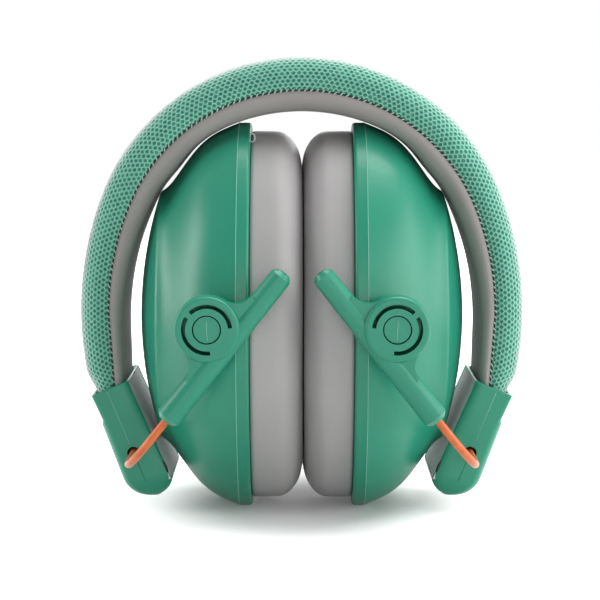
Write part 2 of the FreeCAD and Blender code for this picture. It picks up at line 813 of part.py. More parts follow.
SHELL_BASE = "(rim_face + rim_thickness)"
WALL_STEPS = 8
FACE_SHARES = (1, 0.8, 0.6, 0.4, 0.2, 0.05)
FACE_SCALE = "(1 - wall_taper)"
CUP_SIZES = ("cup_half_height", "cup_half_width", "cup_end_radius")
FACE_PLACE = f"{SHELL_BASE} + wall_depth"
EAR_INSET = "(cup_half_height - ear_half_height)"
RING_INSET = "(cushion_inset + ring_margin)"
RING_ACROSS = (
    f"({PIVOT_ACROSS} - (arm_start + ring_along) * cos(arm_angle) + ring_offset * sin(arm_angle))"
)
RING_UP = (
    f"({PIVOT_UP} + (arm_start + ring_along) * sin(arm_angle) + ring_offset * cos(arm_angle)"
    " - (cup_half_height - foot_flat))"
)


def cut_foot(body):
    """The flat that the folded ear defender rests on."""
    foot = new_sketch(body, "foot", "YZ_Plane", lift="rim_face - 1")
    side = "cup_half_width"
    rectangle(foot, f"-{side}", "-(cup_half_height + 1)", side, "-(cup_half_height - foot_flat)")
    extrude(body, "Pocket", foot, "2 * wall_depth", midplane=False, backwards=True)


def cup_shell():
    body = place_in_cup(new_body("right_cup_shell"))
    loft(body, "Additive", wall_ovals(body, "0", range(WALL_STEPS + 1)))
    form = loft(body, "Additive", face_ovals(body, "0"))
    round_edges(body, form, "face_edge_radius", on_oval(FACE_PLACE, "0", FACE_SCALE))
    for side in (1, -1):
        recess = new_sketch(body, "ring_recess", "XZ_Plane", lift=f"{side} * ({ARM_BACK} - recess_gap)")
        circle(recess, RING_ACROSS, RING_UP, "ring_radius + recess_margin")
        extrude(body, "Pocket", recess, "cup_half_width", midplane=False, backwards=side > 0)
    land_reach = f"{ARM_BACK} - land_gap"
    boss_reach = f"{ARM_FRONT} - boss_sink"
    for radius, reach in (("land_radius", land_reach), ("boss_radius", boss_reach)):
        post = circle(new_sketch(body, "button", "XZ_Plane"), RING_ACROSS, RING_UP, radius)
        extrude(body, "Pad", post, f"2 * ({reach})")
    cut_foot(body)
    loft(body, "Subtractive", wall_ovals(body, "cup_wall", range(WALL_STEPS + 1)))
    loft(body, "Subtractive", face_ovals(body, "cup_wall"))
    return body


def cup_rim():
    body = place_in_cup(new_body("right_cup_rim"))
    outside = cup_oval(body, "rim", "rim_face", "0")
    rim = extrude(body, "Pad", outside, "rim_thickness", midplane=False)
    round_edges(body, rim, "rim_edge_radius", on_oval("rim_face", "0"))
    lip_share = "(lip_height / (wall_depth - cup_wall))"
    narrowing = f"(cup_half_height - cup_wall) * (1 - {wall_scale(lip_share)})"
    lip = cup_oval(body, "lip", "rim_face", f"cup_wall + lip_gap + {narrowing}")
    extrude(body, "Pad", lip, "rim_thickness + lip_height", midplane=False)
    inside = cup_oval(
        body, "lip_inside", SHELL_BASE, f"cup_wall + lip_gap + lip_thickness + {narrowing}"
    )
    extrude(body, "Pocket", inside, "lip_height + 1", midplane=False, backwards=True)
    seat = cup_oval(body, "ring_seat", "rim_face", f"{RING_INSET} - ring_gap")
    extrude(body, "Pocket", seat, "ring_seat", midplane=False, backwards=True)
    opening = cup_oval(body, "opening", "rim_face - 1", f"{EAR_INSET} - rim_lap")
    extrude(body, "Pocket", opening, "wall_depth", midplane=False, backwards=True)
    cut_foot(body)
    return body


def cup_foam():
    body = place_in_cup(new_body("right_cup_foam"))
    loft(body, "Additive", wall_ovals(body, "cup_wall + insert_gap", range(2, WALL_STEPS - 1)))
    return body


def on_oval(lift, *shape):
    """A test for the edges of one of the cup's ovals."""
    corner = [value(text) for text in oval_corner(*cup_sizes(*shape))[:2]]

    def at_corner(vertex):
        return math.dist((abs(vertex.Y), abs(vertex.Z)), corner) < TINY

    def wanted(middle, edge):
        return abs(middle.x - value(lift)) < TINY and all(map(at_corner, edge.Vertexes))

    return wanted


# Cushions: a ring with a crowned face and drawn-in sides


def cushion_form(name, skin, back):
    """A cushion's ring, moved in from its surface by a skin, and rounded along its edges."""
    body = place_in_cup(new_body(name))
    face = f"(cushion_face + {skin})"
    outline = cup_oval(body, "outside", face, f"cushion_inset + {skin}")
    form = extrude(body, "Pad", outline, f"{back} - {face}", midplane=False)
    opening = cup_oval(body, "inside", face, f"{EAR_INSET} - {skin}")
    form = extrude(body, "Pocket", opening, f"{back} - {face}", midplane=False, backwards=True)
    for lift, inset, radius in (
        (face, f"cushion_inset + {skin}", f"cushion_crown - {skin}"),
        (face, f"{EAR_INSET} - {skin}", f"cushion_inner_crown - {skin}"),
        (back, f"cushion_inset + {skin}", f"cushion_back_round - {skin}"),
    ):
        form = round_edges(body, form, radius, on_oval(lift, inset))
    return body


def cushion():
    back = "(rim_face - cushion_back_gap)"
    form = tool_only(cushion_form("cushion_skin_form", "0", back))
    wrap = new_sketch(form, "back_opening", "YZ_Plane", lift=back)
    for inset in (f"{RING_INSET} - ring_gap", f"{EAR_INSET} - cushion_skin"):
        oval(wrap, *cup_sizes(inset))
    extrude(form, "Pocket", wrap, "cushion_skin", midplane=False)
    core = cushion_form("right_cushion_foam", "cushion_skin", f"({back} - cushion_skin)")
    cut("right_cushion_cover", form, core)

    ring = place_in_cup(new_body("right_cushion_ring"))
    plate = cup_oval(ring, "ring", "rim_face + ring_seat - ring_thickness", RING_INSET)
    extrude(ring, "Pad", plate, "ring_thickness", midplane=False)
    hole = cup_oval(ring, "ring_hole", "rim_face", f"{RING_INSET} + ring_width")
    extrude(ring, "Pocket", hole, "4 * ring_thickness")


# The whole ear defender

SIDE_TO_SIDE = FreeCAD.Vector(1, 0, 0)
FRONT_TO_BACK = FreeCAD.Vector(0, 1, 0)

headband()
cap_outer()
cap_inner()
cap_plate()
cup_shell()
cup_rim()
cup_foam()
cushion()
for name in [name for name in pieces if name.startswith("right_")]:
    mirror_piece(pieces[name], name.replace("right_", "left_"), SIDE_TO_SIDE)

bow = wire()
mirror_piece(bow, "right_wire", SIDE_TO_SIDE)
front_arm = arm()
rear_arm = mirror_piece(front_arm, "left_arm_rear", FRONT_TO_BACK)
mirror_piece(front_arm, "right_arm_front", SIDE_TO_SIDE)
mirror_piece(rear_arm, "right_arm_rear", SIDE_TO_SIDE)
doc.recompute()

for item in doc.Objects:
    if "Invalid" in item.State or "Error" in item.State:
        raise RuntimeError(f"{item.Name} failed: {item.State}")
for name, piece in pieces.items():
    if piece.Shape.isNull() or not piece.Shape.isValid() or len(piece.Shape.Solids) != 1:
        raise RuntimeError(f"{name} isn't one valid solid")

os.makedirs("parts", exist_ok=True)
for name, piece in pieces.items():
    piece.Shape.exportStep(os.path.join("parts", f"{name}.step"))
    print(f"{name}: {piece.Shape.Volume:.0f} cubic mm")
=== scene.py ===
"""Looks of a child's folding ear defender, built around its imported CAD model."""

import json
import math

import bmesh
import bpy
import numpy as np
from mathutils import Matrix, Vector


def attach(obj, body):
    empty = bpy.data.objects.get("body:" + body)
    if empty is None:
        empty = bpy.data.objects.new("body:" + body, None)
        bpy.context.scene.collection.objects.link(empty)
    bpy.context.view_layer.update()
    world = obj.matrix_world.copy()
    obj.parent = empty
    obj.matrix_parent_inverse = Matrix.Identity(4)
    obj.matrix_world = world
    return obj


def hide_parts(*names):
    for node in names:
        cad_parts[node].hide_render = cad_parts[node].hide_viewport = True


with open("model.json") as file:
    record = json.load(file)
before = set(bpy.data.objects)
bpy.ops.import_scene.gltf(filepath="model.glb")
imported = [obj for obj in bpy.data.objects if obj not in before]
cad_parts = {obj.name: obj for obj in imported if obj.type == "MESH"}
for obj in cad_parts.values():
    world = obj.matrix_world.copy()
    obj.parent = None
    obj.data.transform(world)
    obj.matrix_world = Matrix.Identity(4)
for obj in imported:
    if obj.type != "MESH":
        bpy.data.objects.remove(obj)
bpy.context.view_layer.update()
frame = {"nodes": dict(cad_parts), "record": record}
nodes = frame["nodes"]
scene = bpy.context.scene

MM = 0.001
SIDES = {"left": -1, "right": 1}

# Sizes of the headband in millimetres, the same as the CAD model's

BAND_HALF_WIDTH = 15.5
CROWN_HEIGHT = 117.8
CROWN_THICKNESS = 13.5
WIDEST_HEIGHT = 51.8
SEAM_DEPTH = 8.4
CROWN_SWEEP = 68.0
OUTER_CROWN_RADIUS = 55.5
OUTER_LIMB_SWEEP = 32.0
OUTER_END_ARC = (10.0, 26.0)
INNER_ARCS = [(50.6, 23.0), (37.0, 41.2), (81.6, 25.8)]
SEAM_CROWN_RADIUS = 48.2
MOUTH = (50.0, 32.6)
CAP_TILT = math.radians(22.5)
PAD_TUCK = 1.6
PAD_END_HALF = 3.2
SEAM_END = 0.8

# Camera, lights and surroundings

PHOTO_PIXELS = 600
SENSOR = 36.0
FOCAL_PIXELS = 1887
CAMERA_PLACE = (-0.5, -500.0, 106.5)
CAMERA_PITCH = 6.0
CLIP_START = 0.01


def make_camera():
    data = bpy.data.cameras.new("camera")
    data.sensor_width = SENSOR
    data.lens = FOCAL_PIXELS * SENSOR / PHOTO_PIXELS
    data.clip_start = CLIP_START
    camera = bpy.data.objects.new("camera", data)
    camera.location = Vector(CAMERA_PLACE) * MM
    camera.rotation_euler = (math.radians(90 - CAMERA_PITCH), 0, 0)
    scene.collection.objects.link(camera)
    scene.camera = camera


def softbox(name, place, target, width, height, power):
    data = bpy.data.lights.new(name, "AREA")
    data.shape = "RECTANGLE"
    data.size = width
    data.size_y = height
    data.energy = power
    lamp = bpy.data.objects.new(name, data)
    lamp.location = place
    lamp.rotation_euler = (Vector(target) - Vector(place)).to_track_quat("-Z", "Y").to_euler()
    scene.collection.objects.link(lamp)


def make_lights():
    """Soft boxes in metres and watts, all turned to the object's middle."""
    middle = (0, 0, 0.06)
    softbox("left_softbox", (-0.85, -0.04, 0.2), middle, 0.34, 0.7, 5.2)
    softbox("right_softbox", (0.81, -0.26, 0.2), middle, 1.0, 0.7, 8.2)
    softbox("front_softbox", (0.05, -0.95, 0.22), middle, 0.7, 0.4, 2.3)
    softbox("top_softbox", (0.2, 0.15, 0.8), middle, 0.7, 0.6, 7.4)
    softbox("back_softbox", (0.25, 0.9, 0.4), middle, 0.7, 0.4, 4.0)


WORLD_LIGHT = 0.08
WORLD_SEEN = 1.0


def make_world():
    """A weak white light all round, seen as plain white, in shine and through glass too."""
    world = bpy.data.worlds.new("studio")
    scene.world = world
    world.use_nodes = True
    tree = world.node_tree
    tree.nodes.clear()
    paths = tree.nodes.new("ShaderNodeLightPath")
    seen = paths.outputs["Is Camera Ray"]
    for ray in ("Is Glossy Ray", "Is Transmission Ray"):
        either = tree.nodes.new("ShaderNodeMath")
        either.operation = "MAXIMUM"
        tree.links.new(seen, either.inputs[0])
        tree.links.new(paths.outputs[ray], either.inputs[1])
        seen = either.outputs[0]
    mix = tree.nodes.new("ShaderNodeMixShader")
    tree.links.new(seen, mix.inputs[0])
    for index, strength in enumerate((WORLD_LIGHT, WORLD_SEEN)):
        white = tree.nodes.new("ShaderNodeBackground")
        white.inputs["Color"].default_value = (1, 1, 1, 1)
        white.inputs["Strength"].default_value = strength
        tree.links.new(white.outputs[0], mix.inputs[1 + index])
    out = tree.nodes.new("ShaderNodeOutputWorld")
    tree.links.new(mix.outputs[0], out.inputs["Surface"])


FLOOR_GAP = 0.0002
FLOOR_REACH = 3.0
FLOOR_STRETCH = 1.3
SHADOW_CORE = 0.025
SHADOW_END = 0.07
SHADOW_GLOW = 0.08
FLOOR_GLOW = 0.9
FLOOR_BOUNCE = (0.7, 0.7, 0.7, 1)
FLOOR_SEEN = (0.8, 0.8, 0.8, 1)
CUP_FEET = ((16.4, 0.0), (30.0, 8.0), (37.0, 20.0))


def keep_below(floor):
    """The floor stays under the cups' lowest points when they swing out of the headband."""
    for side, sign in SIDES.items():
        for index, (x, z) in enumerate(CUP_FEET):
            foot = bpy.data.objects.new(f"{side}_foot_{index}", None)
            foot.location = (sign * x * MM, 0, z * MM)
            scene.collection.objects.link(foot)
            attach(foot, f"{side}_cup")
            limit = floor.constraints.new("FLOOR")
            limit.target = foot
            limit.floor_location = "FLOOR_NEGATIVE_Z"
            limit.offset = -FLOOR_GAP


def make_floor():
    """A pale floor that turns into the white background away from the object's shadow."""
    mesh = bpy.data.meshes.new("floor")
    turns = ((-1, -1), (1, -1), (1, 1), (-1, 1))
    corners = [(x * FLOOR_REACH, y * FLOOR_REACH, 0) for x, y in turns]
    mesh.from_pydata(corners, [], [(0, 1, 2, 3)])
    floor = bpy.data.objects.new("floor", mesh)
    floor.location.z = -FLOOR_GAP
    scene.collection.objects.link(floor)
    keep_below(floor)
    finish = Finish("white_floor", Roughness=1.0)
    place = finish.node("TexCoord")
    parts = finish.node("SeparateXYZ")
    finish.tree.links.new(place.outputs["Object"], parts.inputs[0])
    across = finish.math("MULTIPLY", parts.outputs["X"], FLOOR_STRETCH)
    squares = [finish.math("MULTIPLY", value, value) for value in (across, parts.outputs["Y"])]
    distance = finish.math("SQRT", finish.math("ADD", *squares))
    fade = finish.smooth(distance, SHADOW_CORE, SHADOW_END)
    paths = finish.node("LightPath")
    seen = paths.outputs["Is Camera Ray"]
    for ray in ("Is Glossy Ray", "Is Transmission Ray"):
        seen = finish.math("MAXIMUM", seen, paths.outputs[ray])
    glow = finish.math("MULTIPLY_ADD", fade, FLOOR_GLOW, SHADOW_GLOW)
    finish.color(finish.mix(seen, FLOOR_BOUNCE, FLOOR_SEEN))
    finish.shader.inputs["Emission Color"].default_value = (1, 1, 1, 1)
    finish.feed(finish.shader.inputs["Emission Strength"], finish.math("MULTIPLY", glow, seen))
    finish.shader.inputs["Specular IOR Level"].default_value = 0.0
    mesh.materials.append(finish.material)


# Materials


class Finish:
    """A procedural material around one Principled shader."""

    def __init__(self, name, **settings):
        self.material = bpy.data.materials.new(name)
        self.material.use_nodes = True
        self.tree = self.material.node_tree
        self.shader = self.tree.nodes["Principled BSDF"]
        for socket, value in settings.items():
            self.shader.inputs[socket.replace("_", " ")].default_value = value

    def node(self, kind, **settings):
        made = self.tree.nodes.new(f"ShaderNode{kind}")
        for name, value in settings.items():
            setattr(made, name, value)
        return made

    def feed(self, socket, value):
        if hasattr(value, "links"):
            self.tree.links.new(value, socket)
        else:
            socket.default_value = value

    def math(self, operation, first, second=0.0, third=0.0):
        made = self.node("Math", operation=operation)
        for socket, value in zip(made.inputs, (first, second, third)):
            self.feed(socket, value)
        return made.outputs[0]

    def smooth(self, value, low, high):
        """Rises smoothly from 0 at low to 1 at high."""
        made = self.node("MapRange", interpolation_type="SMOOTHSTEP")
        self.feed(made.inputs["Value"], value)
        made.inputs["From Min"].default_value = low
        made.inputs["From Max"].default_value = high
        return made.outputs["Result"]

    def mix(self, share, first, second):
        made = self.node("Mix", data_type="RGBA")
        self.feed(made.inputs["Factor"], share)
        self.feed(made.inputs["A"], first)
        self.feed(made.inputs["B"], second)
        return made.outputs["Result"]

    def noise(self, scale, detail=2.0, roughness=0.5):
        place = self.node("TexCoord")
        made = self.node("TexNoise")
        self.tree.links.new(place.outputs["Object"], made.inputs["Vector"])
        made.inputs["Scale"].default_value = scale
        made.inputs["Detail"].default_value = detail
        made.inputs["Roughness"].default_value = roughness
        return made.outputs["Fac"]

    def cells(self, scale, feature="F1"):
        """Distances in a pattern of round grains."""
        place = self.node("TexCoord")
        made = self.node("TexVoronoi", feature=feature)
        self.tree.links.new(place.outputs["Object"], made.inputs["Vector"])
        made.inputs["Scale"].default_value = scale
        return made.outputs["Distance"]

    def color(self, value):
        self.feed(self.shader.inputs["Base Color"], value)

    def roughness(self, value):
        self.feed(self.shader.inputs["Roughness"], value)

    def bump(self, height, distance, strength=1.0):
        made = self.node("Bump")
        made.inputs["Distance"].default_value = distance
        made.inputs["Strength"].default_value = strength
        self.feed(made.inputs["Height"], height)
        self.tree.links.new(made.outputs["Normal"], self.shader.inputs["Normal"])


def shade(red, green, blue):
    """A colour given as it looks on screen, from 0 to 255, as linear light."""
    linear = []
    for level in (red, green, blue):
        share = level / 255
        linear.append(share / 12.92 if share <= 0.04045 else ((share + 0.055) / 1.055) ** 2.4)
    return (*linear, 1.0)


def plastic_finish(name, color, deep, roughness):
    """Moulded satin plastic: fine spark-eroded grain and a slight mottle."""
    finish = Finish(name, Specular_IOR_Level=0.4)
    mottle = finish.smooth(finish.noise(90.0, 4.0), 0.3, 0.75)
    finish.color(finish.mix(finish.math("MULTIPLY", mottle, 0.5), color, deep))
    finish.roughness(finish.math("MULTIPLY_ADD", finish.noise(600.0), 0.12, roughness - 0.06))
    finish.bump(finish.noise(5200.0, 3.0, 0.6), 0.00001, 0.5)
    return finish.material


KNIT_PITCH = 1.45
KNIT_ROW = 1.0
HOLE_HALF_LENGTH = 0.42
HOLE_HALF_WIDTH = 0.38
LATTICE_START = 100


def knit_hole(along, across):
    """How far a point of the knit is from the nearest hole's middle, where 1 is the hole's edge."""
    holes = []
    for shift in (0.0, 0.5):
        run = along / KNIT_PITCH + shift
        row = across / KNIT_ROW / 2 + shift
        holes.append(
            np.hypot(
                (run - np.round(run)) * KNIT_PITCH / HOLE_HALF_LENGTH,
                (row - np.round(row)) * 2 * KNIT_ROW / HOLE_HALF_WIDTH,
            )
        )
    return np.minimum(*holes)


def knit_lattice(finish, along, across, shift):
    """One of the knit's two lattices of holes: distance from the nearest hole's middle, distance
    along the band only, and the squared distance where 1 is the hole's edge."""
    cell = []
    for run, size in ((along, KNIT_PITCH), (across, 2 * KNIT_ROW)):
        fraction = finish.math("FRACT", finish.math("ADD", run, LATTICE_START + shift))
        cell.append(finish.math("MULTIPLY", finish.math("SUBTRACT", fraction, 0.5), size))
    squares = [finish.math("MULTIPLY", value, value) for value in cell]
    reach = finish.math("SQRT", finish.math("ADD", *squares))
    wide = finish.math("DIVIDE", squares[1], HOLE_HALF_WIDTH**2)
    hole = finish.math("MULTIPLY_ADD", squares[0], 1 / HOLE_HALF_LENGTH**2, wide)
    return reach, finish.math("ABSOLUTE", cell[0]), hole


def knit_finish():
    """Spacer knit: a honeycomb of yarn round small holes in staggered rows, the raised strands painted
    paler as highlight, the holes painted dark as shade, and a near-white painted sheen where the cover
    turns edge-on to the view.
    """
    finish = Finish("green_spacer_knit", Roughness=0.85, Sheen_Weight=1.0, Sheen_Roughness=0.3)
    place = finish.node("UVMap", uv_map="weave")
    parts = finish.node("SeparateXYZ")
    finish.tree.links.new(place.outputs["UV"], parts.inputs[0])
    drift = finish.math("MULTIPLY_ADD", finish.noise(700.0, 1.0), 0.24, -0.12)
    along = finish.math("ADD", finish.math("DIVIDE", parts.outputs["X"], KNIT_PITCH), drift)
    sway = finish.math("MULTIPLY_ADD", finish.noise(900.0, 1.0), 0.16, -0.08)
    across = finish.math("ADD", finish.math("DIVIDE", parts.outputs["Y"], 2 * KNIT_ROW), sway)
    lattices = [knit_lattice(finish, along, across, shift) for shift in (0.5, 0.0)]
    reaches, borders, holes = zip(*lattices)
    squared = finish.math("MINIMUM", *holes)
    uneven = finish.math("MULTIPLY_ADD", finish.noise(520.0, 1.0), 1.2, squared)
    hole = finish.smooth(uneven, 2.1, 0.8)
    between = finish.math("ABSOLUTE", finish.math("SUBTRACT", *reaches))
    zigzag = finish.smooth(between, 0.36, 0.06)
    nearest = finish.math("LESS_THAN", *reaches)
    border = finish.math("MULTIPLY_ADD", nearest, finish.math("SUBTRACT", *borders), borders[1])
    rung = finish.smooth(border, KNIT_PITCH * 0.34, KNIT_PITCH * 0.48)
    strand = finish.math("MAXIMUM", zigzag, finish.math("MULTIPLY", rung, 0.7))
    fuzz = finish.noise(2600.0, 3.0)
    # Painted highlight: the yarn is painted paler on its raised strands than between them.
    pale = finish.mix(strand, shade(80, 160, 136), shade(152, 216, 196))
    wisps = finish.smooth(finish.noise(1800.0, 3.0, 0.7), 0.5, 0.62)
    pale = finish.mix(finish.math("MULTIPLY", fuzz, 0.5), pale, shade(98, 174, 151))
    # Painted shade: the holes are painted dark for the shade in their depth, with random lighter wisps
    # of yarn.
    painted_hole_shade = finish.mix(wisps, shade(24, 88, 71), shade(74, 150, 126))
    yarn = finish.mix(finish.math("MULTIPLY", hole, 0.85), pale, painted_hole_shade)
    # Painted sheen: the colour turns near white where the cover faces away from the view, at the
    # silhouettes.
    facing = finish.node("LayerWeight")
    facing.inputs["Blend"].default_value = 0.5
    painted_sheen = finish.smooth(facing.outputs["Facing"], 0.38, 0.86)
    finish.color(finish.mix(finish.math("MULTIPLY", painted_sheen, 0.9), yarn, shade(236, 244, 240)))
    height = finish.math("MULTIPLY_ADD", fuzz, 0.3, strand)
    height = finish.math("SUBTRACT", height, finish.math("MULTIPLY", hole, 0.8))
    finish.bump(height, 0.00022, 0.6)
    return finish.material


def soft_finish(name, color, deep, sheen, grain, roughness):
    """A smooth soft skin, knitted or coated, with a fine grain."""
    finish = Finish(name, Sheen_Weight=sheen, Sheen_Roughness=0.45)
    mottle = finish.smooth(finish.noise(60.0, 3.0), 0.25, 0.8)
    finish.color(finish.mix(finish.math("MULTIPLY", mottle, 0.6), color, deep))
    finish.roughness(finish.math("MULTIPLY_ADD", finish.noise(900.0), 0.1, roughness - 0.05))
    pores = finish.smooth(finish.cells(grain, "DISTANCE_TO_EDGE"), 0.0, 0.15)
    height = finish.math("MULTIPLY_ADD", finish.noise(grain * 0.6, 3.0), 0.6, pores)
    finish.bump(height, 0.00004, 0.35)
    return finish.material


def plate_finish():
    """Coarse granular grip surface, pale with dark specks."""
    finish = Finish("grained_plate", Roughness=0.6, Sheen_Weight=0.3, Sheen_Roughness=0.5)
    rough = finish.math("ADD", finish.cells(2200.0), finish.noise(1500.0, 4.0, 0.7))
    specks = finish.smooth(rough, 0.4, 0.7)
    finish.color(finish.mix(specks, shade(100, 100, 103), shade(212, 213, 216)))
    finish.bump(rough, 0.00015, 0.7)
    return finish.material


def wire_finish():
    """Steel wire under a soft orange coating."""
    finish = Finish("orange_wire_coat", Specular_IOR_Level=0.45)
    tone = finish.smooth(finish.noise(420.0, 3.0), 0.3, 0.7)
    finish.color(finish.mix(tone, shade(214, 106, 46), shade(198, 91, 35)))
    finish.roughness(finish.math("MULTIPLY_ADD", finish.noise(900.0), 0.12, 0.28))
    finish.bump(finish.noise(2600.0, 2.0), 0.00003, 0.4)
    return finish.material


def foam_finish():
    """Dark open-cell foam with fine pores, each painted darker in its middle as shade in the cell."""
    finish = Finish("open_foam", Roughness=0.95)
    shaded_pore = finish.smooth(finish.cells(1400.0), 0.15, 0.6)
    # Painted shade: the pores' middles are painted darker than the foam round them.
    finish.color(finish.mix(shaded_pore, shade(34, 35, 38), shade(82, 84, 88)))
    finish.bump(shaded_pore, 0.0003, 0.9)
    return finish.material


def steel_finish():
    """Spring steel with brushed lines."""
    finish = Finish("blued_spring_steel", Metallic=1.0)
    place = finish.node("TexCoord")
    stretch = finish.node("Mapping")
    stretch.inputs["Scale"].default_value = (1.0, 60.0, 1.0)
    finish.tree.links.new(place.outputs["Object"], stretch.inputs["Vector"])
    lines = finish.node("TexNoise")
    finish.tree.links.new(stretch.outputs["Vector"], lines.inputs["Vector"])
    lines.inputs["Scale"].default_value = 90.0
    finish.color(finish.mix(lines.outputs["Fac"], shade(140, 143, 150), shade(180, 182, 186)))
    finish.roughness(finish.math("MULTIPLY_ADD", lines.outputs["Fac"], 0.2, 0.25))
    return finish.material


def make_materials():
    """The finish of each material slot."""
    return {
        "shell_plastic": plastic_finish(
            "green_satin_plastic", shade(30, 136, 108), shade(24, 128, 101), 0.36
        ),
        "inner_plastic": plastic_finish(
            "grey_satin_plastic", shade(70, 72, 74), shade(58, 60, 62), 0.42
        ),
        "knit_mesh": knit_finish(),
        "lining": soft_finish(
            "grey_lining_knit", shade(152, 148, 145), shade(142, 138, 136), 0.05, 2600.0, 0.7
        ),
        "cushion_skin": soft_finish(
            "grey_cushion_skin", shade(168, 166, 166), shade(160, 158, 158), 0.05, 1700.0, 0.5
        ),
        "grip_plate": plate_finish(),
        "coated_wire": wire_finish(),
        "foam": foam_finish(),
        "spring_steel": steel_finish(),
    }


def paint_cad_nodes(materials):
    """Each CAD node gets the material that its record's slot names."""
    slots = {part["node"]: part["material_slot"] for part in frame["record"]["subparts"]}
    for name, piece in nodes.items():
        piece.data.materials.clear()
        piece.data.materials.append(materials[slots[name]])


# Mesh helpers


def new_piece(name, points, faces, material, body, smooth=True):
    """A mesh piece from points in millimetres, riding on a body."""
    mesh = bpy.data.meshes.new(name)
    mesh.from_pydata((np.asarray(points, float) * MM).tolist(), [], faces)
    mesh.materials.append(material)
    mesh.validate()
    mesh.update()
    if smooth:
        mesh.shade_smooth()
    piece = bpy.data.objects.new(name, mesh)
    scene.collection.objects.link(piece)
    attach(piece, body)
    return piece


def grid_faces(rows, columns, close_rows=False, close_columns=False):
    """Quads of a grid of points, where row r and column c hold point r * columns + c."""
    faces = []
    for row in range(rows if close_rows else rows - 1):
        here = row * columns
        there = (row + 1) % rows * columns
        for column in range(columns if close_columns else columns - 1):
            right = (column + 1) % columns
            faces.append((here + column, there + column, there + right, here + right))
    return faces


def add_weave_map(piece, values):
    """A UV map whose units are millimetres of fabric."""
    layer = piece.data.uv_layers.new(name="weave")
    corners = np.empty(len(piece.data.loops), dtype=int)
    piece.data.loops.foreach_get("vertex_index", corners)
    layer.data.foreach_set("uv", np.asarray(values, float)[corners].ravel())


# Headband: the rails of its section, from the crown down the right side


def in_cap(outwards, down):
    """A point of the right end cap's frame: outwards from its axis, down from its mouth."""
    return (
        MOUTH[0] + outwards * math.cos(CAP_TILT) - down * math.sin(CAP_TILT),
        MOUTH[1] - outwards * math.sin(CAP_TILT) - down * math.cos(CAP_TILT),
    )


def rail(height, arcs, end, step=0.4):
    """Points of tangent arcs (radius, sweep) from the crown, and of a straight run to the end."""
    points = [(0.0, height)]
    turn = 0.0
    for radius, sweep in arcs:
        x, z = points[-1]
        count = max(2, math.ceil(radius * math.radians(sweep) / step))
        for index in range(1, count + 1):
            angle = turn + math.radians(sweep) * index / count
            points.append(
                (
                    x + radius * (math.sin(angle) - math.sin(turn)),
                    z + radius * (math.cos(angle) - math.cos(turn)),
                )
            )
        turn += math.radians(sweep)
    x, z = points[-1]
    count = max(2, math.ceil(math.dist((x, z), end) / step))
    for index in range(1, count + 1):
        share = index / count
        points.append((x + (end[0] - x) * share, z + (end[1] - z) * share))
    return np.array(points)


def limb_radius(height, crown_radius):
    """The radius that brings a rail to its widest at the widest height."""
    left = height - crown_radius - WIDEST_HEIGHT
    return crown_radius + left / math.cos(math.radians(CROWN_SWEEP))


def band_rails():
    """The band's outside, its inside and the seam between cover and lining, right half."""
    outer_limb = limb_radius(CROWN_HEIGHT, OUTER_CROWN_RADIUS)
    outer_arcs = [(OUTER_CROWN_RADIUS, CROWN_SWEEP), (outer_limb, OUTER_LIMB_SWEEP), OUTER_END_ARC]
    outer = rail(CROWN_HEIGHT, outer_arcs, in_cap(PAD_END_HALF, PAD_TUCK))
    inner = rail(CROWN_HEIGHT - CROWN_THICKNESS, INNER_ARCS, in_cap(-PAD_END_HALF, PAD_TUCK))
    seam_height = CROWN_HEIGHT - SEAM_DEPTH
    seam_limb = limb_radius(seam_height, SEAM_CROWN_RADIUS)
    seam_arcs = [(SEAM_CROWN_RADIUS, CROWN_SWEEP), (seam_limb, 90 - CROWN_SWEEP)]
    seam = rail(seam_height, seam_arcs, in_cap(-SEAM_END, PAD_TUCK))
    return outer, inner, seam


PARALLEL = 1e-12
END_SLACK = 1e-3


def along_direction(point, direction, line):
    """How far from a point, along a direction, a polyline is crossed, or else how far its end is."""
    starts = line[:-1]
    runs = line[1:] - starts
    offset = starts - point
    cross = direction[0] * runs[:, 1] - direction[1] * runs[:, 0]
    cross = np.where(np.abs(cross) < PARALLEL, PARALLEL, cross)
    reach = (offset[:, 0] * runs[:, 1] - offset[:, 1] * runs[:, 0]) / cross
    share = (offset[:, 0] * direction[1] - offset[:, 1] * direction[0]) / cross
    hits = reach[(share >= -END_SLACK) & (share <= 1 + END_SLACK) & (reach > 0)]
    return hits.min() if len(hits) else np.linalg.norm(line[-1] - point)


LIMB_SLACK = 0.01


def band_sections():
    """Sections across the band from the left end to the right: length along the seam from the
    crown, place on the seam, direction outwards, and the thickness outside and inside the seam."""
    outer, inner, seam = band_rails()
    moves = np.diff(seam, axis=0)
    lengths = np.concatenate(([0.0], np.cumsum(np.linalg.norm(moves, axis=1))))
    sideways = np.radians(90)
    heading = np.full(len(seam), sideways)
    heading[:-1] = np.minimum(np.arctan2(-moves[:, 1], moves[:, 0]), sideways)
    heading[0] = 0.0
    limb = seam[:, 1] < WIDEST_HEIGHT + LIMB_SLACK
    first = int(np.argmax(limb))
    share = (lengths - lengths[first]) / (lengths[-1] - lengths[first])
    heading = np.where(limb, sideways + CAP_TILT * np.clip(share, 0, 1), heading)
    sections = []
    for place, turn, length in zip(seam, heading, lengths):
        direction = np.array([math.sin(turn), math.cos(turn)])
        sections.append(
            (
                length,
                place,
                direction,
                along_direction(place, direction, outer),
                along_direction(place, -direction, inner),
            )
        )
    mirrored = [
        (-length, place * (-1, 1), direction * (-1, 1), out, into)
        for length, place, direction, out, into in sections[:0:-1]
    ]
    return mirrored + sections


BAND_CORNER = 5.6
CORNER_LIMIT = 0.9
SEAM_TUCK = 0.75
SEAM_TUCK_HEIGHT = 0.7


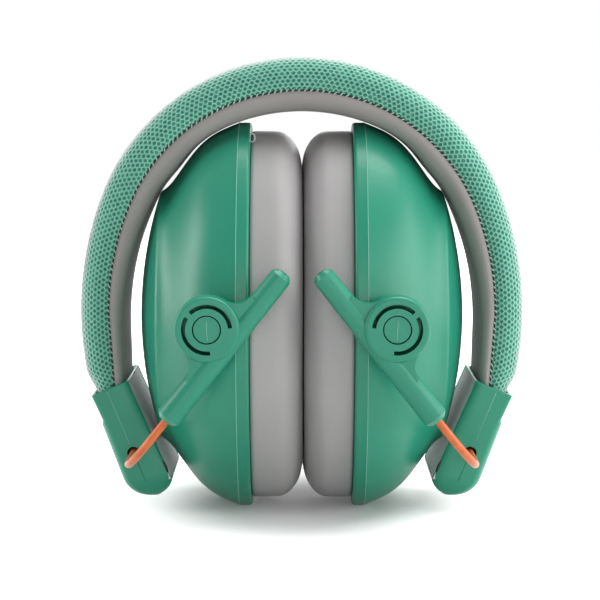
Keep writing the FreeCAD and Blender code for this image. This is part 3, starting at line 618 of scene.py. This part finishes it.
def padded_profile(thickness, count, bulge):
    """Half a fabric section: (across, up, run from the middle) from the middle to the seam."""
    half = BAND_HALF_WIDTH
    corner = min(BAND_CORNER, thickness * CORNER_LIMIT)
    flat = half - corner
    bend = corner * math.pi / 2
    side = thickness - corner
    total = flat + bend + side
    points = []
    for index in range(count + 1):
        run = total * index / count
        if run <= flat:
            across, up = run, thickness
        elif run <= flat + bend:
            angle = (run - flat) / corner
            across, up = flat + corner * math.sin(angle), thickness - corner * (1 - math.cos(angle))
        else:
            across, up = half, side - (run - flat - bend)
        swell = bulge * math.sin(math.pi * min(up / thickness, 1.0)) * (across / half) ** 4
        tuck = SEAM_TUCK * math.exp(-up / SEAM_TUCK_HEIGHT)
        crown = bulge * (1 - (across / half) ** 2)
        points.append((across + swell - tuck, up + crown * (up / thickness) ** 2, run))
    return points


SHOULDER_HEIGHT = 86.0
SHOULDER_SPREAD = 14
SHOULDER_DROOP = 0.45
GAP_HEIGHT = 92.5
GAP_SPREAD = 5
GAP_DROOP = 0.8


def shoulder_droop(height):
    """The lining sags a little where it bears on the cups' shoulders, and more just above."""
    shoulder = SHOULDER_DROOP * math.exp(-(((height - SHOULDER_HEIGHT) / SHOULDER_SPREAD) ** 2))
    return shoulder + GAP_DROOP * math.exp(-(((height - GAP_HEIGHT) / GAP_SPREAD) ** 2))


HOLE_DEPTH = 0.28
HOLE_FLOOR = 0.4
HOLE_SLOPE = 0.9


def sink_holes(points, weave, rows, columns):
    """Moves the points in the knit's holes inwards, square to the cover."""
    grid = points.reshape(rows, columns, 3)
    normals = np.cross(np.gradient(grid, axis=1), np.gradient(grid, axis=0)).reshape(-1, 3)
    normals /= np.linalg.norm(normals, axis=1)[:, None]
    middle = len(points) // 2
    outward = points[middle] - np.array([0, 0, WIDEST_HEIGHT])
    if (normals[middle] * outward).sum() < 0:
        normals = -normals
    hole = knit_hole(weave[:, 0], weave[:, 1])
    depth = HOLE_DEPTH * (1 - np.clip((hole - HOLE_FLOOR) / HOLE_SLOPE, 0, 1) ** 2)
    return points - normals * depth[:, None]


COVER_COLUMNS = 70
COVER_BULGE = 0.35
COVER_STRETCH = 1.09
LINING_COLUMNS = 36
LINING_BULGE = 0.3
LINING_STRETCH = 0.95


def band_skin(name, is_cover, material):
    """The knitted cover outside the seam, or the smooth lining inside it."""
    sign = 1 if is_cover else -1
    count = COVER_COLUMNS if is_cover else LINING_COLUMNS
    bulge = COVER_BULGE if is_cover else LINING_BULGE
    stretch = COVER_STRETCH if is_cover else LINING_STRETCH
    points = []
    weave = []
    for length, place, direction, out, into in BAND_SECTIONS:
        thickness = out if is_cover else into + shoulder_droop(place[1])
        half = padded_profile(thickness, count, bulge)
        whole = [(-across, up, -run) for across, up, run in half[:0:-1]] + half
        for across, up, run in whole:
            x, z = place + direction * sign * up
            points.append((x, across, z))
            weave.append((length * stretch, run))
    rows = len(BAND_SECTIONS)
    columns = 2 * count + 1
    points = np.array(points)
    weave = np.array(weave)
    faces = grid_faces(rows, columns)
    if is_cover:
        points = sink_holes(points, weave, rows, columns)
        faces = [face[::-1] for face in faces]
    piece = new_piece(name, points, faces, material, "headband")
    add_weave_map(piece, weave)
    return piece


def tube_along(name, line, radius, material, body, sides=6, upright=(0, 1, 0)):
    """A round tube along a line of points in millimetres, which never runs along upright."""
    line = np.asarray(line, float)
    points = []
    for index, place in enumerate(line):
        before = line[max(index - 1, 0)]
        after = line[min(index + 1, len(line) - 1)]
        forward = (after - before) / np.linalg.norm(after - before)
        side = np.cross(forward, upright)
        side /= np.linalg.norm(side)
        up = np.cross(side, forward)
        for corner in range(sides):
            angle = 2 * math.pi * corner / sides
            points.append(place + radius * (side * math.cos(angle) + up * math.sin(angle)))
    faces = grid_faces(len(line), sides, close_columns=True)
    faces.append(tuple(range(sides)))
    faces.append(tuple(range((len(line) - 1) * sides, len(line) * sides))[::-1])
    return new_piece(name, points, faces, material, body)


SEAM_LINE_INSET = 0.72
SEAM_LINE_RADIUS = 0.34
STITCH_PITCH = 1.55
STITCH_START = 0.25
STITCH_SLANT = 0.55
STITCH_ENDS = (-0.42, 0.5)
STITCH_LIFT = 0.22
STITCH_RADIUS = 0.19
STITCH_TAPER = 0.12
STITCH_ARCH = 0.8


def seam_finishes():
    """Pale sewing thread, and the painted shadow of the seam under it."""
    thread = Finish("pale_thread", Roughness=0.6)
    twist = thread.smooth(thread.noise(4000.0), 0.3, 0.7)
    thread.color(thread.mix(twist, shade(186, 208, 199), shade(150, 178, 168)))
    dark = Finish("seam_shadow", Roughness=0.9)
    dark.color(dark.mix(dark.noise(900.0), shade(24, 40, 36), shade(40, 54, 50)))
    return thread.material, dark.material


def make_seam():
    """A dark line where cover and lining meet, a painted shadow of the seam, and a zig-zag of thread
    across it.
    """
    thread, dark = seam_finishes()
    sections = BAND_SECTIONS[1:-1]
    lengths, places, directions = (np.array([section[n] for section in sections]) for n in (0, 1, 2))
    for name, face in (("front", -1), ("rear", 1)):
        edge = face * (BAND_HALF_WIDTH - SEAM_LINE_INSET)
        line = [(x, edge, z) for x, z in places]
        # Painted shadow: a near-black tube along the seam.
        tube_along(f"{name}_seam_line", line, SEAM_LINE_RADIUS, dark, "headband")
        points = []
        faces = []
        for index in range(int((lengths[-1] - lengths[0]) / STITCH_PITCH)):
            start = lengths[0] + (index + STITCH_START) * STITCH_PITCH
            ends = []
            for length, lift in zip((start, start + STITCH_PITCH * STITCH_SLANT), STITCH_ENDS):
                x, z = (np.interp(length, lengths, places[:, n]) for n in (0, 1))
                dx, dz = (np.interp(length, lengths, directions[:, n]) for n in (0, 1))
                ends.append(np.array([x + dx * lift, edge + face * STITCH_LIFT, z + dz * lift]))
            add_capsule(points, faces, ends[0], ends[1], STITCH_RADIUS, (0, face, 0))
        new_piece(f"{name}_seam_stitches", points, faces, thread, "headband")


def add_capsule(points, faces, start, end, radius, lift, sides=6, rings=5):
    """Adds a short arched stitch between two points."""
    base = len(points)
    forward = (end - start) / np.linalg.norm(end - start)
    up = np.array(lift, float)
    side = np.cross(forward, up)
    for ring in range(rings):
        share = ring / (rings - 1)
        swell = math.sin(math.pi * (STITCH_TAPER + (1 - 2 * STITCH_TAPER) * share))
        arch = up * radius * STITCH_ARCH * math.sin(math.pi * share)
        middle = start + (end - start) * share + arch
        for corner in range(sides):
            angle = 2 * math.pi * corner / sides
            points.append(middle + radius * swell * (side * math.cos(angle) + up * math.sin(angle)))
    for face in grid_faces(rings, sides, close_columns=True):
        faces.append(tuple(base + index for index in face))
    faces.append(tuple(base + index for index in range(sides)))
    faces.append(tuple(base + (rings - 1) * sides + index for index in range(sides))[::-1])


# Ear cups

CUP_MIDDLE = 50.1
CUP_HALF_HEIGHT = 50.9
CUP_HALF_WIDTH = 39.0
CUP_END_RADIUS = 32.0
EAR_HALF_HEIGHT = 31.0
SHELL_BASE = 16.4
SHELL_WALL = 2.0
WALL_DEPTH = 20.8


def oval_points(inset, count, scale=1.0):
    """Points round the cup's oval of four arcs, moved in by a distance and then scaled."""
    half_height = CUP_HALF_HEIGHT - inset
    half_width = CUP_HALF_WIDTH - inset
    end = CUP_END_RADIUS - inset
    rise = half_height - end
    side = (rise**2 + half_width**2 - end**2) / (2 * (half_width - end))
    meet = math.atan2(rise, side - half_width)
    quarter = []
    side_length = side * meet
    total = side_length + end * (math.pi / 2 - meet)
    for index in range(count // 4 + 1):
        run = total * index / (count // 4)
        if run <= side_length:
            angle = run / side
            quarter.append((half_width - side + side * math.cos(angle), side * math.sin(angle)))
        else:
            angle = meet + (run - side_length) / end
            quarter.append((end * math.cos(angle), rise + end * math.sin(angle)))
    points = quarter[:-1]
    points += [(-y, z) for y, z in quarter[:0:-1]]
    points += [(-y, -z) for y, z in quarter[:-1]]
    points += [(y, -z) for y, z in quarter[:0:-1]]
    return np.array(points) * scale


CUSHION_INSET = 2.2
CUSHION_EAR_INSET = CUP_HALF_HEIGHT - EAR_HALF_HEIGHT
CUSHION_FACE = 0.12
CUSHION_PRESS = 0.38
CUSHION_BACK = 13.17
CUSHION_POINTS = 192
OUTSIDE_HEM = (0.4, 0.03)
OUTSIDE_DEPTHS = (2.2, 4.2)
OUTSIDE_ROUNDING = (9.6, 6.7)
EAR_HEM = 0.3
EAR_ROUNDING = 4.6
PRESS_WAVE = 0.06
PRESS_WAVE_RUN = 7.3
LEAN_RUN = 8
LEAN_DEPTH = 6


def cushion_section():
    """The cushion's cross-section as (inset, distance from the middle plane), round its loop."""
    outer, inner = CUSHION_INSET, CUSHION_EAR_INSET
    points = [(outer + OUTSIDE_HEM[0], CUSHION_BACK), (outer, CUSHION_BACK - OUTSIDE_HEM[1])]
    points += [(outer, CUSHION_BACK - depth) for depth in OUTSIDE_DEPTHS]
    across, deep = OUTSIDE_ROUNDING
    for index in range(11):
        angle = math.pi / 2 * index / 10
        inset = outer + across * (1 - math.cos(angle))
        points.append((inset, CUSHION_FACE + deep * (1 - math.sin(angle))))
    for index in range(7):
        angle = math.pi / 2 * index / 6
        inset = inner - EAR_ROUNDING * (1 - math.sin(angle))
        points.append((inset, CUSHION_FACE + EAR_ROUNDING * (1 - math.cos(angle))))
    start = CUSHION_FACE + EAR_ROUNDING
    for share in (0.35, 0.7, 0.97):
        points.append((inner, start + (CUSHION_BACK - start) * share))
    points.append((inner - EAR_HEM, CUSHION_BACK))
    return points


def make_cushion(side, material):
    """A plump cushion, whose face leans over where the other side's presses on it."""
    sign = SIDES[side]
    section = cushion_section()
    points = []
    for inset, depth in section:
        for y, z in oval_points(inset, CUSHION_POINTS):
            press = CUSHION_PRESS + PRESS_WAVE * math.sin(z / PRESS_WAVE_RUN)
            lean = press * math.tanh(-y / LEAN_RUN) * max(0.0, 1 - depth / LEAN_DEPTH)
            points.append((sign * depth + lean, y, z + CUP_MIDDLE))
    faces = grid_faces(len(section), CUSHION_POINTS, close_rows=True, close_columns=True)
    if sign < 0:
        faces = [face[::-1] for face in faces]
    cushion = new_piece(f"{side}_cushion", points, faces, material, f"{side}_cup")
    smooth = cushion.modifiers.new("smooth", "SUBSURF")
    smooth.levels = smooth.render_levels = 1
    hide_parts(f"{side}_cushion_cover", f"{side}_cushion_foam")


WALL_TAPER = 0.355
WALL_STRAIGHT = 0.45
WALL_POWER = 1.8


def wall_scale(share):
    """How large the shell's wall is at a share of its depth, as in the CAD model."""
    swell = (1 - math.cos(math.pi * share**WALL_POWER)) / 2
    return 1 - WALL_TAPER * (WALL_STRAIGHT * share + (1 - WALL_STRAIGHT) * swell)


FOAM_START = 21.0
FOAM_END = 30.2
FOAM_POINTS = 120
FOAM_GAP = 0.35
FOAM_EDGE = 1.4
FOAM_EDGE_INSET = 0.02
FOAM_WALL_START = 4.5
FOAM_BACK_EDGE = 0.6
FOAM_BACK_SHARES = (0.985, 0.5)
PILLOW_DEPTH = 0.22
PILLOW_RUNS = (4.1, 5.2)
PILLOW_SHIFT = 1.0
RIM_DENT = 0.9
RIM_DENT_START = 0.8


def foam_rings():
    """The pad's rings from its face to its back, as (distance from the middle plane, share)."""
    rings = [(FOAM_START, index / 15) for index in range(1, 15)]
    for index in range(1, 5):
        deep = FOAM_EDGE * (1 - math.cos(math.pi / 2 * index / 4))
        rings.append((FOAM_START + deep, 1 - FOAM_EDGE_INSET * (1 - index / 4)))
    rings += [(FOAM_START + FOAM_WALL_START, 1.0), (FOAM_END - FOAM_BACK_EDGE, 1.0)]
    return rings + [(FOAM_END, share) for share in FOAM_BACK_SHARES]


def foam_dent(y, z, share):
    """How deep a point of the pad's face lies, in soft pillows that drop off to the edge."""
    pillow = math.sin(y / PILLOW_RUNS[0] + PILLOW_SHIFT) * math.sin(z / PILLOW_RUNS[1])
    return PILLOW_DEPTH * pillow + RIM_DENT * max(0.0, share - RIM_DENT_START) ** 2


def make_foam_pad(side, material):
    """The sound-deadening foam in the cup: a pillowed pad with a soft edge."""
    sign = SIDES[side]
    inset = SHELL_WALL + FOAM_GAP
    depth = WALL_DEPTH - inset
    rings = foam_rings()
    points = []
    for place, share in rings:
        scale = share * wall_scale((place - SHELL_BASE) / depth)
        for y, z in oval_points(inset, FOAM_POINTS, scale):
            dent = foam_dent(y, z, share) if place == FOAM_START else 0.0
            points.append((sign * (place + dent), y, z + CUP_MIDDLE))
    faces = grid_faces(len(rings), FOAM_POINTS, close_columns=True)
    faces.append(tuple(range(FOAM_POINTS))[::-1])
    faces.append(tuple(range((len(rings) - 1) * FOAM_POINTS, len(rings) * FOAM_POINTS)))
    if sign > 0:
        faces = [face[::-1] for face in faces]
    pad = new_piece(f"{side}_foam_pad", points, faces, material, f"{side}_cup")
    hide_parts(f"{side}_cup_foam")


# End caps: rounded skins over the CAD halves, from the band's mouth down to the foot

CAP_HALF_WIDTH = 17.0
CAP_CROWN = 0.3
CAP_CORNER = 3.2
CAP_EDGE = 1.0
INNER_REACH = 5.2
INNER_DRAFT = 0.55
INNER_FOOT = 28.9
INNER_FOOT_ARC = (0.75, 24.91, 6.09)
OUTER_REACH = 5.05
MOUTH_TAPER = 0.25
MOUTH_RUN = 7
SWELL = 1.1
SWELL_START = 6.6
SWELL_RUN = 2.2
SWELL_CORNER = (1.4, 4.0)
OUTER_DRAFT = 0.5
OUTER_DRAFT_START = 8.4
OUTER_FOOT = 23.6
OUTER_FOOT_ARC = (-1.0, OUTER_FOOT, 7.4)
FOOT_START = 25
FOOT_RUN = 6
FOOT_ROUNDING = 3.2
PLATE_RECESS = 1.2
PLATE_SPAN = (0.6, 28.0)
CAP_PARTING = 0.6
PIVOT_DEPTH = 18.0
WIRE_MOUTH_RADIUS = 1.7
DRILL_LENGTH = 2 * CAP_HALF_WIDTH + 4
MOUTH_WALL = 1.2
MOUTH_DEPTH = 2.6
MOUTH_EDGE = 0.2
LIP_ROUNDING = 0.35
CORNER_STEPS = 12
LEAST_REACH = 0.2
CROWN_SLACK = 0.01
LEAST_CORNER = 0.15
CORNER_REACH = 0.8
SIDE_SHARES = (0.005, 0.01, 0.25, 0.5, 0.75, 0.99, 0.995)
UPPER_DEPTHS = (0.55, 0.65, 2.5, 4.5, 6.0, 6.6, 7.0, 7.4, 7.9, 8.4, 8.8, 9.6)
MIDDLE_DEPTHS = (11.5, 14, 16, 18, 20, 22, 23.6, 24.6, 25.6, 26.6)
FOOT_DEPTHS = (27.95, 28.05, 28.9, 29.5, 30.0, 30.4, 30.7, 30.9, 30.98)


def passed(value, start, run):
    """The share of a run that a value has passed, from 0 to 1."""
    return min(max((value - start) / run, 0.0), 1.0)


def arc_reach(down, arc):
    """How far an arc (its middle's offset and depth, its radius) reaches at a depth."""
    offset, depth, radius = arc
    return offset + math.sqrt(max(radius**2 - (down - depth) ** 2, 0.0))


def cap_sides(down):
    """How far the cap reaches inwards and outwards from its axis at a depth below its mouth."""
    inwards = INNER_REACH + INNER_DRAFT * down / INNER_FOOT
    if down >= INNER_FOOT:
        inwards = arc_reach(down, INNER_FOOT_ARC)
    step = passed(down, SWELL_START, SWELL_RUN)
    outwards = OUTER_REACH - MOUTH_TAPER * min(down / MOUTH_RUN, 1.0) + SWELL * step**2 * (3 - 2 * step)
    outwards += OUTER_DRAFT * max(down - OUTER_DRAFT_START, 0.0) / (OUTER_FOOT - OUTER_DRAFT_START)
    if down >= OUTER_FOOT:
        outwards = arc_reach(down, OUTER_FOOT_ARC)
    return inwards, outwards


def ring_corners(reach, half, inset, corners):
    """Points round a rectangle's four elliptical corners, given as (length, width)."""
    ring = []
    for index, (length, width) in enumerate(corners):
        length = max(min(length, CORNER_REACH * reach) - inset, LEAST_CORNER)
        width = max(width - inset, LEAST_CORNER)
        side = 1 if index in (0, 3) else -1
        face = 1 if index in (0, 1) else -1
        for step in range(CORNER_STEPS + 1):
            angle = math.pi / 2 * (index + step / CORNER_STEPS)
            along = side * (reach - length) + length * math.cos(angle)
            over = face * (half - width) + width * math.sin(angle)
            ring.append((along, over))
    return ring


def fill_sides(ring, recessed):
    """Adds points between the corners, and sinks the inner side's where the plate lies."""
    filled = []
    for index, start in enumerate(ring):
        filled.append(start)
        corner, step = divmod(index, CORNER_STEPS + 1)
        if step == CORNER_STEPS:
            end = ring[(index + 1) % len(ring)]
            for share in SIDE_SHARES:
                along, over = (start[n] + (end[n] - start[n]) * share for n in (0, 1))
                if recessed and corner == 1 and SIDE_SHARES[0] < share < SIDE_SHARES[-1]:
                    along += PLATE_RECESS
                filled.append((along, over))
    return filled


def cap_ring(down, inset):
    """A rounded section across the cap as (outwards, across) points."""
    inwards, outwards = cap_sides(max(down, 0.0))
    middle = (outwards - inwards) / 2
    reach = max((outwards + inwards) / 2 - inset, LEAST_REACH)
    foot = passed(down, FOOT_START, FOOT_RUN)
    half = CAP_HALF_WIDTH - CAP_CROWN - FOOT_ROUNDING * (1 - math.sqrt(1 - foot**2)) - inset
    swell = passed(down, SWELL_START, SWELL_RUN)
    outer = (CAP_EDGE + SWELL_CORNER[0] * swell, CAP_EDGE + SWELL_CORNER[1] * swell)
    inner = (CAP_CORNER, CAP_EDGE)
    ring = ring_corners(reach, half, inset, (outer, inner, inner, outer))
    crowned = []
    for along, over in fill_sides(ring, PLATE_SPAN[0] < down < PLATE_SPAN[1]):
        crown = CAP_CROWN * (1 - (along / (reach + CROWN_SLACK)) ** 2) * abs(over) / half
        crowned.append((middle + along, over + math.copysign(crown, over)))
    return crowned


def lip_depth(inset):
    """Depth below the mouth of the lip's rounding at an inset."""
    return LIP_ROUNDING * (1 - math.sqrt(max(1 - (1 - inset / LIP_ROUNDING) ** 2, 0.0)))


def make_cap_skin(side, material):
    """One smooth moulding in place of the cap's two halves, with the wire's holes cut into it."""
    sign = SIDES[side]
    levels = [(MOUTH_DEPTH, MOUTH_WALL), (MOUTH_EDGE, MOUTH_WALL), (0.0, MOUTH_WALL - MOUTH_EDGE)]
    levels += [(lip_depth(inset), inset) for inset in (LIP_ROUNDING, 0.2, 0.1, 0.03, 0.0)]
    levels += [(down, 0.0) for down in UPPER_DEPTHS + MIDDLE_DEPTHS + FOOT_DEPTHS]
    points = []
    for down, inset in levels:
        for outwards, across in cap_ring(down, inset):
            x, z = in_cap(outwards, down)
            points.append((sign * x, across, z))
    columns = len(points) // len(levels)
    faces = grid_faces(len(levels), columns, close_columns=True)
    faces.append(tuple(range(columns))[::-1])
    faces.append(tuple(range((len(levels) - 1) * columns, len(levels) * columns)))
    if sign > 0:
        faces = [face[::-1] for face in faces]
    skin = new_piece(f"{side}_cap_skin", points, faces, material, "headband", False)
    x, z = in_cap(CAP_PARTING, PIVOT_DEPTH)
    cut_hole(skin, (sign * x, 0, z), WIRE_MOUTH_RADIUS, DRILL_LENGTH)
    soften(skin)
    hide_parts(f"{side}_cap_outer", f"{side}_cap_inner")


def cut_hole(piece, place, radius, length):
    """Cuts a round hole along the y axis right through a piece."""
    turns = 32
    points = []
    for end in (-1, 1):
        for index in range(turns):
            angle = 2 * math.pi * index / turns
            x = place[0] + radius * math.cos(angle)
            points.append((x, end * length / 2, place[2] + radius * math.sin(angle)))
    faces = grid_faces(2, turns, close_columns=True)
    faces.append(tuple(range(turns))[::-1])
    faces.append(tuple(range(turns, 2 * turns)))
    mesh = bpy.data.meshes.new("drill")
    mesh.from_pydata((np.asarray(points) * MM).tolist(), [], faces)
    drill = bpy.data.objects.new("drill", mesh)
    scene.collection.objects.link(drill)
    turn_outwards(mesh)
    turn_outwards(piece.data)
    hole = piece.modifiers.new("hole", "BOOLEAN")
    hole.operation = "DIFFERENCE"
    hole.solver = "EXACT"
    hole.object = drill
    bpy.context.view_layer.update()
    shape = piece.evaluated_get(bpy.context.evaluated_depsgraph_get())
    cut = bpy.data.meshes.new_from_object(shape)
    piece.modifiers.clear()
    piece.data = cut
    bpy.data.objects.remove(drill)


def turn_outwards(mesh):
    """Turns every face of a closed mesh outwards, as the cut needs."""
    form = bmesh.new()
    form.from_mesh(mesh)
    bmesh.ops.recalc_face_normals(form, faces=form.faces)
    form.to_mesh(mesh)
    form.free()


CRISP_ANGLE = 0.7


def soften(piece):
    """Smooth shading with crisp edges where faces meet at a steep angle."""
    form = bmesh.new()
    form.from_mesh(piece.data)
    for face in form.faces:
        face.smooth = True
    for edge in form.edges:
        edge.smooth = len(edge.link_faces) == 2 and edge.calc_face_angle() < CRISP_ANGLE
    form.to_mesh(piece.data)
    form.free()


# Moulding lines painted as highlight and shade, snap slots painted as shadow, and pull tabs

ARM_FRONT = 47.0
BUTTON_SINK = 0.3
RING_PLACE = (23.12, 51.53)
MARK_HALF_LENGTH = 2.6
MARK_LEAN = 0.06
MARK_RADIUS = 0.11
RIM_LINE_SWELL = 0.02
RIM_LINE_RADIUS = 0.1
RIM_LINE_FOOT = 0.25
RIM_LINE_POINTS = 240
RIDGE_SPAN = (0.7, 15.8)
GROOVE_SPAN = (20.2, 26.0)
PARTING_RADIUS = 0.08
PARTING_LEAN = 0.04
SLOT_START = 22.7
SLOT_LENGTH = 3.7
SLOT_REACH = 5.5
SLOT_EDGE = 15.95
SLOT_RADIUS = 0.4
SLOT_SINK = 0.4


def rim_line(side, material):
    """The pale parting line between the cup's shell and its rim, painted pale as highlight, open where
    the cup stands.
    """
    oval = oval_points(-RIM_LINE_SWELL, RIM_LINE_POINTS)
    rim = [(SIDES[side] * SHELL_BASE, y, z + CUP_MIDDLE) for y, z in oval]
    rim = [point for point in rim if point[2] > RIM_LINE_FOOT]
    low = min(range(len(rim)), key=lambda index: rim[index][2])
    rim = rim[low + 1 :] + rim[: low + 1]
    name = f"{side}_rim_line"
    tube_along(name, rim, RIM_LINE_RADIUS, material, f"{side}_cup", upright=(1, 0, 0))


def moulding_lines(side, material, groove_shade):
    """The cap's parting line, a ridge above the wire painted pale as highlight and a groove below it
    painted dark as shade, and the mould mark on the cup's button, painted pale as highlight, each front
    and rear."""
    sign = SIDES[side]
    for name, face in (("front", -1), ("rear", 1)):
        y = face * CAP_HALF_WIDTH
        for part, span, finish in (("ridge", RIDGE_SPAN, material), ("groove_shade", GROOVE_SPAN, groove_shade)):
            line = []
            for share in (0, 0.5, 1):
                x, z = in_cap(CAP_PARTING, span[0] + (span[1] - span[0]) * share)
                line.append((sign * x, y - face * PARTING_LEAN * share**2, z))
            line_name = f"{side}_cap_{part}_{name}"
            tube_along(line_name, line, PARTING_RADIUS, finish, "headband")
        x, z = RING_PLACE
        y = face * (ARM_FRONT - BUTTON_SINK)
        ups = (-MARK_HALF_LENGTH, 0.0, MARK_HALF_LENGTH)
        mark = [(sign * (x + MARK_LEAN * up), y, z + up) for up in ups]
        mark_name = f"{side}_button_line_{name}"
        tube_along(mark_name, mark, MARK_RADIUS, material, f"{side}_cup")


def snap_slots(side, material):
    """Near-black tubes at the plate's front and rear edges, where its snaps sit: painted shadow in the
    slots.
    """
    for name, face in (("front", -1), ("rear", 1)):
        line = []
        for share in (0, 0.25, 0.5, 0.75, 1):
            sunk = SLOT_SINK * (2 * share - 1) ** 2
            x, z = in_cap(-SLOT_REACH + sunk, SLOT_START + SLOT_LENGTH * share)
            line.append((SIDES[side] * x, face * (SLOT_EDGE - sunk / 2), z))
        slot_name = f"{side}_snap_slot_{name}"
        tube_along(slot_name, line, SLOT_RADIUS, material, "headband", sides=8)


UPPER_TAB = (-12.75, -15.0, CUP_MIDDLE + 47.2)
UPPER_TAB_SIZE = 1.1
LOWER_TAB = (-12.55, -12.0, 1.9)
LOWER_TAB_SIZE = 0.7
TAB_WIDTH = 0.62
TAB_START = -60
TAB_SWEEP = 300
TAB_RADIUS = 0.19


def pull_tab(name, place, size, material):
    """A small pale loop on the left cushion's seam, by which the cushion is pulled off."""
    x, y, z = place
    line = []
    for index in range(17):
        angle = math.radians(TAB_START + TAB_SWEEP * index / 16)
        line.append((x + size * TAB_WIDTH * math.sin(angle), y, z - size * math.cos(angle)))
    tube_along(name, line, TAB_RADIUS, material, "left_cup", sides=8)


# Build

make_camera()
make_lights()
make_world()
scene.view_settings.view_transform = "Standard"
make_floor()
MATERIALS = make_materials()
paint_cad_nodes(MATERIALS)
BAND_SECTIONS = band_sections()
knit_cover = band_skin("knit_cover", True, MATERIALS["knit_mesh"])
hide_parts("headband_cover", "headband_foam")
smooth_lining = band_skin("smooth_lining", False, MATERIALS["lining"])
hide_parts("headband_lining")
make_seam()
# Pale plastic of the thin moulding lines: painted highlight along them.
painted_highlight_plastic = plastic_finish("green_painted_highlight", shade(122, 180, 158), shade(110, 168, 146), 0.4)
# Dark plastic of the groove line below the cap's wire: painted shade.
painted_groove_shade = plastic_finish("green_painted_groove_shade", shade(14, 84, 65), shade(10, 74, 57), 0.5)
# Near-black plastic of the snap slots: painted shadow.
slot_shadow = plastic_finish("painted_snap_slot_shadow", shade(14, 26, 23), shade(10, 18, 16), 0.6)
for side in SIDES:
    make_cushion(side, MATERIALS["cushion_skin"])
    make_foam_pad(side, MATERIALS["foam"])
    make_cap_skin(side, MATERIALS["shell_plastic"])
    rim_line(side, painted_highlight_plastic)
    moulding_lines(side, painted_highlight_plastic, painted_groove_shade)
    snap_slots(side, slot_shadow)
pull_tab("upper_pull_tab", UPPER_TAB, UPPER_TAB_SIZE, MATERIALS["cushion_skin"])
pull_tab("lower_pull_tab", LOWER_TAB, LOWER_TAB_SIZE, MATERIALS["cushion_skin"])
